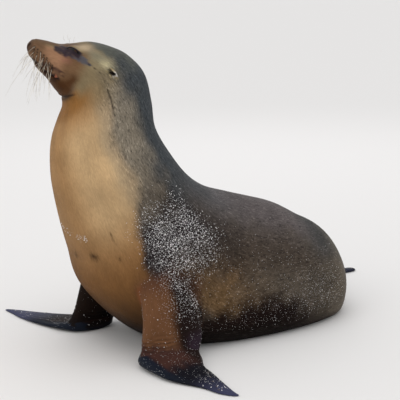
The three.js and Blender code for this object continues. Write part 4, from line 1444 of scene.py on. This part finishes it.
def hair_tube(path, radius):
    """A thin tapering tube with five sides along a path."""
    path = np.asarray(path)
    along = np.gradient(path, axis=0)
    along /= np.linalg.norm(along, axis=-1, keepdims=True)
    side = np.cross(along, [0.3, 0.1, 1.0])
    side /= np.linalg.norm(side, axis=-1, keepdims=True)
    over = np.cross(along, side)
    turns = np.linspace(0, 2 * math.pi, 5, endpoint=False)
    radius = np.asarray(radius)[:, None, None]
    return (path[:, None] + radius * (side[:, None] * np.cos(turns)[:, None]
                                      + over[:, None] * np.sin(turns)[:, None]))


WHISKER_FRONT = -0.604  # metres, as far ahead of the muzzle as a whisker reaches


def whiskers():
    rng = np.random.default_rng(5)
    tubes = []
    at = np.linspace(0, 1, 12)
    for side in (1, -1):
        for root in WHISKER_ROOTS:
            back = np.clip((root[1] + 400) / 38, 0, 1)
            low = np.clip((712 - root[2]) / 34, 0, 1)
            if rng.random() < 0.36:
                continue
            length = (26 + 62 * bell(back - 0.5, 0.4) + 12 * low) * rng.uniform(0.6, 1.15)
            start = np.array([0.50 + 0.1 * back, -0.60 + 0.42 * back, -0.30 - 0.30 * low])
            start += rng.normal(0, 0.14, 3)
            start /= np.linalg.norm(start)
            droop = np.array([-0.14, 0.04 + 0.1 * back, -0.46]) + rng.normal(0, 0.05, 3)
            radius = np.interp(at, [0, 0.7, 1], [0.36, 0.26, 0.09])
            ahead = -1.0
            while ahead < WHISKER_FRONT:
                path = root - 1.5 * start + length * (at[:, None] * start
                                                      + at[:, None] ** 2 * droop)
                tube = head_to_frame(hair_tube(path * [side, 1, 1], radius))
                ahead = tube[..., 1].min()
                length *= 0.95
            tubes.append(tube)
        for spot_y, spot_z in ((-316, 737), (-306, 738)):
            root = np.array([32.0, spot_y, spot_z])
            path = root + at[:, None] * [10, -5, 17] + at[:, None] ** 2 * [3, 6, -4]
            tubes.append(head_to_frame(hair_tube(path * [side, 1, 1],
                                                 np.interp(at, [0, 1], [0.26, 0.09]))))
    return closed_tubes("whiskers", tubes)


def horn_material(name, first, second, rough, scale):
    """Horn, whisker or grain: two colours broken by noise."""
    material, tree, shader = plain_material(name)
    where = tree.add("ShaderNodeTexCoord").outputs["Object"]
    fleck = tree.noise(where, scale, 3.0, 0.6)
    tree.tree.links.new(tree.blend(tree.band(fleck, 0.3, 0.7), (*first, 1), (*second, 1)),
                        shader.inputs["Base Color"])
    tree.tree.links.new(tree.band(fleck, 0.2, 0.8, rough, rough + 0.15),
                        shader.inputs["Roughness"])
    bump = tree.add("ShaderNodeBump", {"Strength": 0.3, "Distance": 0.0002, "Height": fleck})
    tree.tree.links.new(bump.outputs["Normal"], shader.inputs["Normal"])
    return material


smooth_object("whiskers", whiskers(), horn_material(
    "pale whisker", tone(128, 112, 92), tone(244, 236, 218), 0.35, 60))


def claw(place, heading, length, width, height):
    """A small curved nail that lies on the skin, its root sunk in."""
    along = np.array([math.cos(heading), math.sin(heading), 0.0])
    wide = np.array([-along[1], along[0], 0.0])
    up = np.array([0.0, 0.0, 1.0])
    turns = np.linspace(0, 2 * math.pi, 14, endpoint=False)
    tube = []
    for f in np.linspace(0, 1, 11):
        fat = math.sin(math.pi * (0.22 + 0.74 * f)) ** 0.55 * (1 - 0.25 * f)
        centre = place + along * length * (f - 0.5) + up * height * (0.5 - 0.9 * f * f)
        tube.append([centre + wide * (width / 2 * fat * math.cos(b))
                     + up * (height / 2 * fat * math.sin(b)) for b in turns])
    return (np.array(tube) - ORIGIN) * MM


CLAW = (13, 4.4, 3.4)        # a hind claw's length, width and height, mm
CLAW_PLACE = (34, 11.0)      # how far past the web it lies, and how high
NAIL = (6.5, 3.2, 1.6)       # the same sizes of a fore nail


def claws():
    tubes = []
    for rows, toes in ((HIND_LEFT, TOES_LEFT), (HIND_RIGHT, TOES_RIGHT)):
        x, y, _, width, _, plan, _ = rows[-2]
        a = math.radians(plan)
        for across, _, half, splay in toes[1:4]:
            heading = a + math.pi / 2 + math.radians(splay)
            root = np.array([x, y, 0.0]) + across * (width - 0.8 * half) * np.array(
                [math.cos(a), math.sin(a), 0])
            root = root + CLAW_PLACE[0] * np.array([math.cos(heading), math.sin(heading), 0])
            root[2] = CLAW_PLACE[1]
            tubes.append(claw(root, heading, *CLAW))
    return closed_tubes("claws", tubes)


def fore_nails():
    """Five tiny nails set back on the upper side of each fore flipper."""
    tubes = []
    for rows, up_side in ((FOREFLIPPER_LEFT, -1), (FOREFLIPPER_RIGHT, 1)):
        for lane, at in ((-0.62, 6.9), (-0.3, 6.6), (0.02, 6.1), (0.34, 5.6), (0.62, 5.1)):
            b = math.acos(lane) * up_side
            here = limb_surface(rows, np.array([at]), np.array([b]), 0.6)[0] / MM + ORIGIN
            ahead = limb_surface(rows, np.array([at + 0.1]), np.array([b]), 0.6)[0] / MM + ORIGIN
            heading = math.atan2(*(ahead - here)[[1, 0]])
            here[2] += 0.3
            tubes.append(claw(here, heading, *NAIL))
    return closed_tubes("fore nails", tubes)


CLAW_FINISH = horn_material("dark horn", tone(52, 42, 38), tone(96, 80, 70), 0.3, 300)
smooth_object("claws_hind", claws(), CLAW_FINISH)
smooth_object("claws_fore", fore_nails(), CLAW_FINISH)


# dry sand clinging to the coat
def sand_cover(place, values):
    """How thickly coarse and fine sand lie on the skin."""
    t, phi, limb_t = values["trunk_t"], values["phi"], values["t"]
    left = np.where(place[:, 0] > 0, 1, 0.6)
    names = list(FLESH)
    is_on = lambda name: (values["owner"] == names.index(name)).astype(float)
    trunk = (values["owner"] == 0) + is_on("foreleg_left") + is_on("foreleg_right")
    rough = 1 + 0.45 * wander(place, 0.035, 8)
    main = 0.85 * np.exp(-((t - 12.65) / 0.8) ** 4 - ((phi - 6) / 21) ** 4)
    main += 0.45 * np.exp(-((t - 12.4) / 1.0) ** 4 - ((phi - 3) / 26) ** 4)
    front = 0.5 * np.exp(-((t - 11.8) / 0.5) ** 4 - ((phi + 6) / 11) ** 4)
    turn = np.degrees(values["a"]) % 360
    chest, _, _ = to_line(np.stack([t, turn], 1) / [1, 60], [(11.22, 254 / 60), (11.42, 290 / 60)])
    line = 2.6 * bell(chest, 0.03) * fade(wander(place, 0.02, 9), -0.3, 0.4)
    coarse = trunk * ((main + 0.5 * front) * fade(place[:, 2], 0.15, 0.23) + line) * left
    fine = 0.10 * np.exp(-((t - 16.2) / 1.6) ** 4 - ((phi - 1 - 6 * (t - 16.3)) / 15) ** 4)
    fine += 0.15 * np.exp(-((t - 17.1) / 0.9) ** 4 - ((phi - 9) / 14) ** 4)
    fine += 0.06 * np.exp(-((t - 15.6) / 2.4) ** 4 - ((phi - 6) / 30) ** 4)
    fine = trunk * (fine + 0.25 * main + 0.8 * front) * left * fade(place[:, 2], 0.02, 0.05)
    for name, amount in (("foreleg_left", 1), ("foreleg_right", 0.4)):
        back = place[:, 1] - np.interp(place[:, 2], [0.05, 0.28], [-0.335, -0.36])
        high = fade(place[:, 2], 0.08, 0.13) * fade(place[:, 2], 0.26, 0.18)
        coarse += is_on(name) * amount * (0.34 * fade(back, -0.025, 0.02) * high + 0.015)
        fine += is_on(name) * amount * (0.25 * fade(back, -0.06, -0.01) * high + 0.06)
    for name in ("foreflipper_left", "foreflipper_right"):
        coarse += is_on(name) * 0.08 * fade(limb_t, 4.8, 6.2) * fade(limb_t, 9, 7.5) * fade(
            place[:, 2], 0.004, 0.008)
        fine += is_on(name) * (0.07 + 0.16 * fade(limb_t, 4.4, 6.0)) * fade(
            place[:, 2], 0.008, 0.014)
    for name in names:
        if name.startswith("hind"):
            fine += is_on(name) * 0.16 * fade(place[:, 2], 0.004, 0.01)
    return np.clip(coarse * rough, 0, 2.6), np.clip(fine * rough, 0, 2.6)


def grain_mesh():
    points = [(0.5, 0, 0.05), (-0.5, 0.1, 0), (0, 0.45, -0.05), (0.05, -0.5, 0), (0, 0, 0.42),
              (0.05, 0, -0.4)]
    faces = [(0, 2, 4), (2, 1, 4), (1, 3, 4), (3, 0, 4), (2, 0, 5), (1, 2, 5), (3, 1, 5),
             (0, 3, 5)]
    mesh = bpy.data.meshes.new("grain")
    mesh.from_pydata(points, [], faces)
    return mesh


def sand_tree():
    """Scatters grains over the coat, thickest where the sand attribute says."""
    made = bpy.data.node_groups.new("clinging sand", "GeometryNodeTree")
    face = made.interface
    face.new_socket("Skin", in_out="INPUT", socket_type="NodeSocketGeometry")
    for name, kind in (("Grain", "Object"), ("Grains per m2", "Float"), ("Smallest", "Float"),
                       ("Largest", "Float"), ("Height", "Float"), ("Seed", "Int"),
                       ("Finish", "Material")):
        face.new_socket(name, in_out="INPUT", socket_type=f"NodeSocket{kind}")
    face.new_socket("Sand", in_out="OUTPUT", socket_type="NodeSocketGeometry")
    tree = Tree(made)
    given = tree.add("NodeGroupInput").outputs
    result = tree.add("NodeGroupOutput").inputs
    cover = tree.add("GeometryNodeInputNamedAttribute", {"Name": "sand"},
                     data_type="FLOAT").outputs["Attribute"]
    scatter = tree.add("GeometryNodeDistributePointsOnFaces", {
        "Mesh": given["Skin"], "Seed": given["Seed"],
        "Density": tree.math("MULTIPLY", given["Grains per m2"], cover)},
        distribute_method="RANDOM")
    turn = tree.add("FunctionNodeRandomValue", data_type="FLOAT_VECTOR")
    turn.inputs[0].default_value, turn.inputs[1].default_value = (0, 0, 0), (6.28, 6.28, 6.28)
    turn.inputs["Seed"].default_value = 2
    dice = tree.add("FunctionNodeRandomValue", {"Seed": 7}, data_type="FLOAT")
    chance = tree.math("POWER", [s for s in dice.outputs if s.enabled][0], 2.8)
    size = tree.math("MULTIPLY_ADD", chance,
                     tree.math("SUBTRACT", given["Largest"], given["Smallest"]),
                     given["Smallest"])
    rise = tree.add("ShaderNodeVectorMath", {0: scatter.outputs["Normal"]}, operation="SCALE")
    tree.tree.links.new(given["Height"], rise.inputs["Scale"])
    lifted = tree.add("GeometryNodeSetPosition", {"Geometry": scatter.outputs["Points"],
                                                  "Offset": rise.outputs[0]})
    grain = tree.add("GeometryNodeObjectInfo", {"Object": given["Grain"]})
    placed = tree.add("GeometryNodeInstanceOnPoints", {
        "Points": lifted.outputs[0], "Instance": grain.outputs["Geometry"],
        "Rotation": turn.outputs[0], "Scale": size})
    real = tree.add("GeometryNodeRealizeInstances", {"Geometry": placed.outputs[0]})
    done = tree.add("GeometryNodeSetMaterial", {"Geometry": real.outputs[0],
                                                "Material": given["Finish"]})
    tree.tree.links.new(done.outputs[0], result["Sand"])
    return made


GRAIN = new_object("one grain", grain_mesh())
SAND_FINISH = horn_material("dry sand", tone(240, 238, 238), tone(254, 253, 252), 0.8, 400)
SAND_TREE = sand_tree()
for k, (name, amount, per_m2, smallest, largest) in enumerate(zip(
        ("sand_coarse", "sand_fine"), sand_cover(skin_place, values), (105000.0, 150000.0),
        (0.0009, 0.0007), (0.0031, 0.0018))):
    sandy = skin_mesh.copy()
    store(sandy, "sand", amount)
    mesh = geometry_nodes(sandy, SAND_TREE, {
        "Grain": GRAIN, "Grains per m2": per_m2, "Smallest": smallest, "Largest": largest,
        "Height": 0.0010, "Seed": 4 + k, "Finish": SAND_FINISH})
    sand = new_object(name, mesh)
    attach(sand, "root")
bpy.data.objects.remove(GRAIN)


# ---------------------------------------------------------------- camera, light and floor
LENS, SENSOR = 108, 36                 # mm
CAMERA_PLACE = (2.3389, -1.9057, 0.9435)
LOOK_LEVEL = (-0.79864, 0.60182)       # the level direction it looks in
LOOK_FALL = 250 / 1200                 # how far the view falls for its length
FLOOR_REACH = 40


def make_camera():
    camera = bpy.data.objects.new("camera", bpy.data.cameras.new("camera"))
    bpy.context.scene.collection.objects.link(camera)
    camera.data.lens = LENS
    camera.data.sensor_width = SENSOR
    camera.location = CAMERA_PLACE
    tilt = math.atan(LOOK_FALL)
    look = Vector((LOOK_LEVEL[0] * math.cos(tilt), LOOK_LEVEL[1] * math.cos(tilt),
                   -math.sin(tilt)))
    camera.rotation_euler = look.to_track_quat("-Z", "Y").to_euler()
    bpy.context.scene.camera = camera


def area_light(name, place, target, size, power_w, colour):
    light = bpy.data.lights.new(name, "AREA")
    light.shape = "RECTANGLE"
    light.size, light.size_y = size
    light.energy = power_w
    light.color = colour
    lamp = bpy.data.objects.new(name, light)
    lamp.location = place
    lamp.rotation_euler = (Vector(target) - Vector(place)).to_track_quat("-Z", "Y").to_euler()
    bpy.context.scene.collection.objects.link(lamp)


def overhead_light(name, place, spread_deg, strength, colour):
    """A wide, even light from far above that reaches the whole floor alike."""
    light = bpy.data.lights.new(name, "SUN")
    light.angle = math.radians(spread_deg)
    light.energy = strength
    light.color = colour
    lamp = bpy.data.objects.new(name, light)
    lamp.location = place
    lamp.rotation_euler = (-Vector(place)).to_track_quat("-Z", "Y").to_euler()
    bpy.context.scene.collection.objects.link(lamp)


make_camera()
bpy.context.scene.view_settings.view_transform = "Standard"
overhead_light("overhead light", (0.3, -0.3, 3.2), 60, 0.68, (0.99, 0.99, 1.0))
area_light("front panel", (0.6, -3.2, 1.9), (0, 0, 0.35), (2.4, 1.6), 16, (1.0, 0.98, 0.95))
area_light("back panel", (-2.4, 2.0, 2.2), (0, 0.1, 0.3), (2.0, 1.4), 9, (0.97, 0.96, 1.0))
world = bpy.data.worlds.new("studio")
bpy.context.scene.world = world
world.use_nodes = True
sky = world.node_tree.nodes["Background"]
sky.inputs["Color"].default_value = (0.97, 0.975, 0.985, 1)
sky.inputs["Strength"].default_value = 0.79

floor_mesh = bpy.data.meshes.new("floor")
floor_mesh.from_pydata([(x * FLOOR_REACH, y * FLOOR_REACH, 0)
                        for x, y in ((-1, -1), (1, -1), (1, 1), (-1, 1))], [], [(0, 1, 2, 3)])
floor = new_object("floor", floor_mesh)
floor_material = bpy.data.materials.new("pale floor")
floor_material.use_nodes = True
floor_shader = floor_material.node_tree.nodes["Principled BSDF"]
floor_shader.inputs["Base Color"].default_value = (0.8, 0.785, 0.77, 1)
floor_shader.inputs["Roughness"].default_value = 0.9
floor_mesh.materials.append(floor_material)
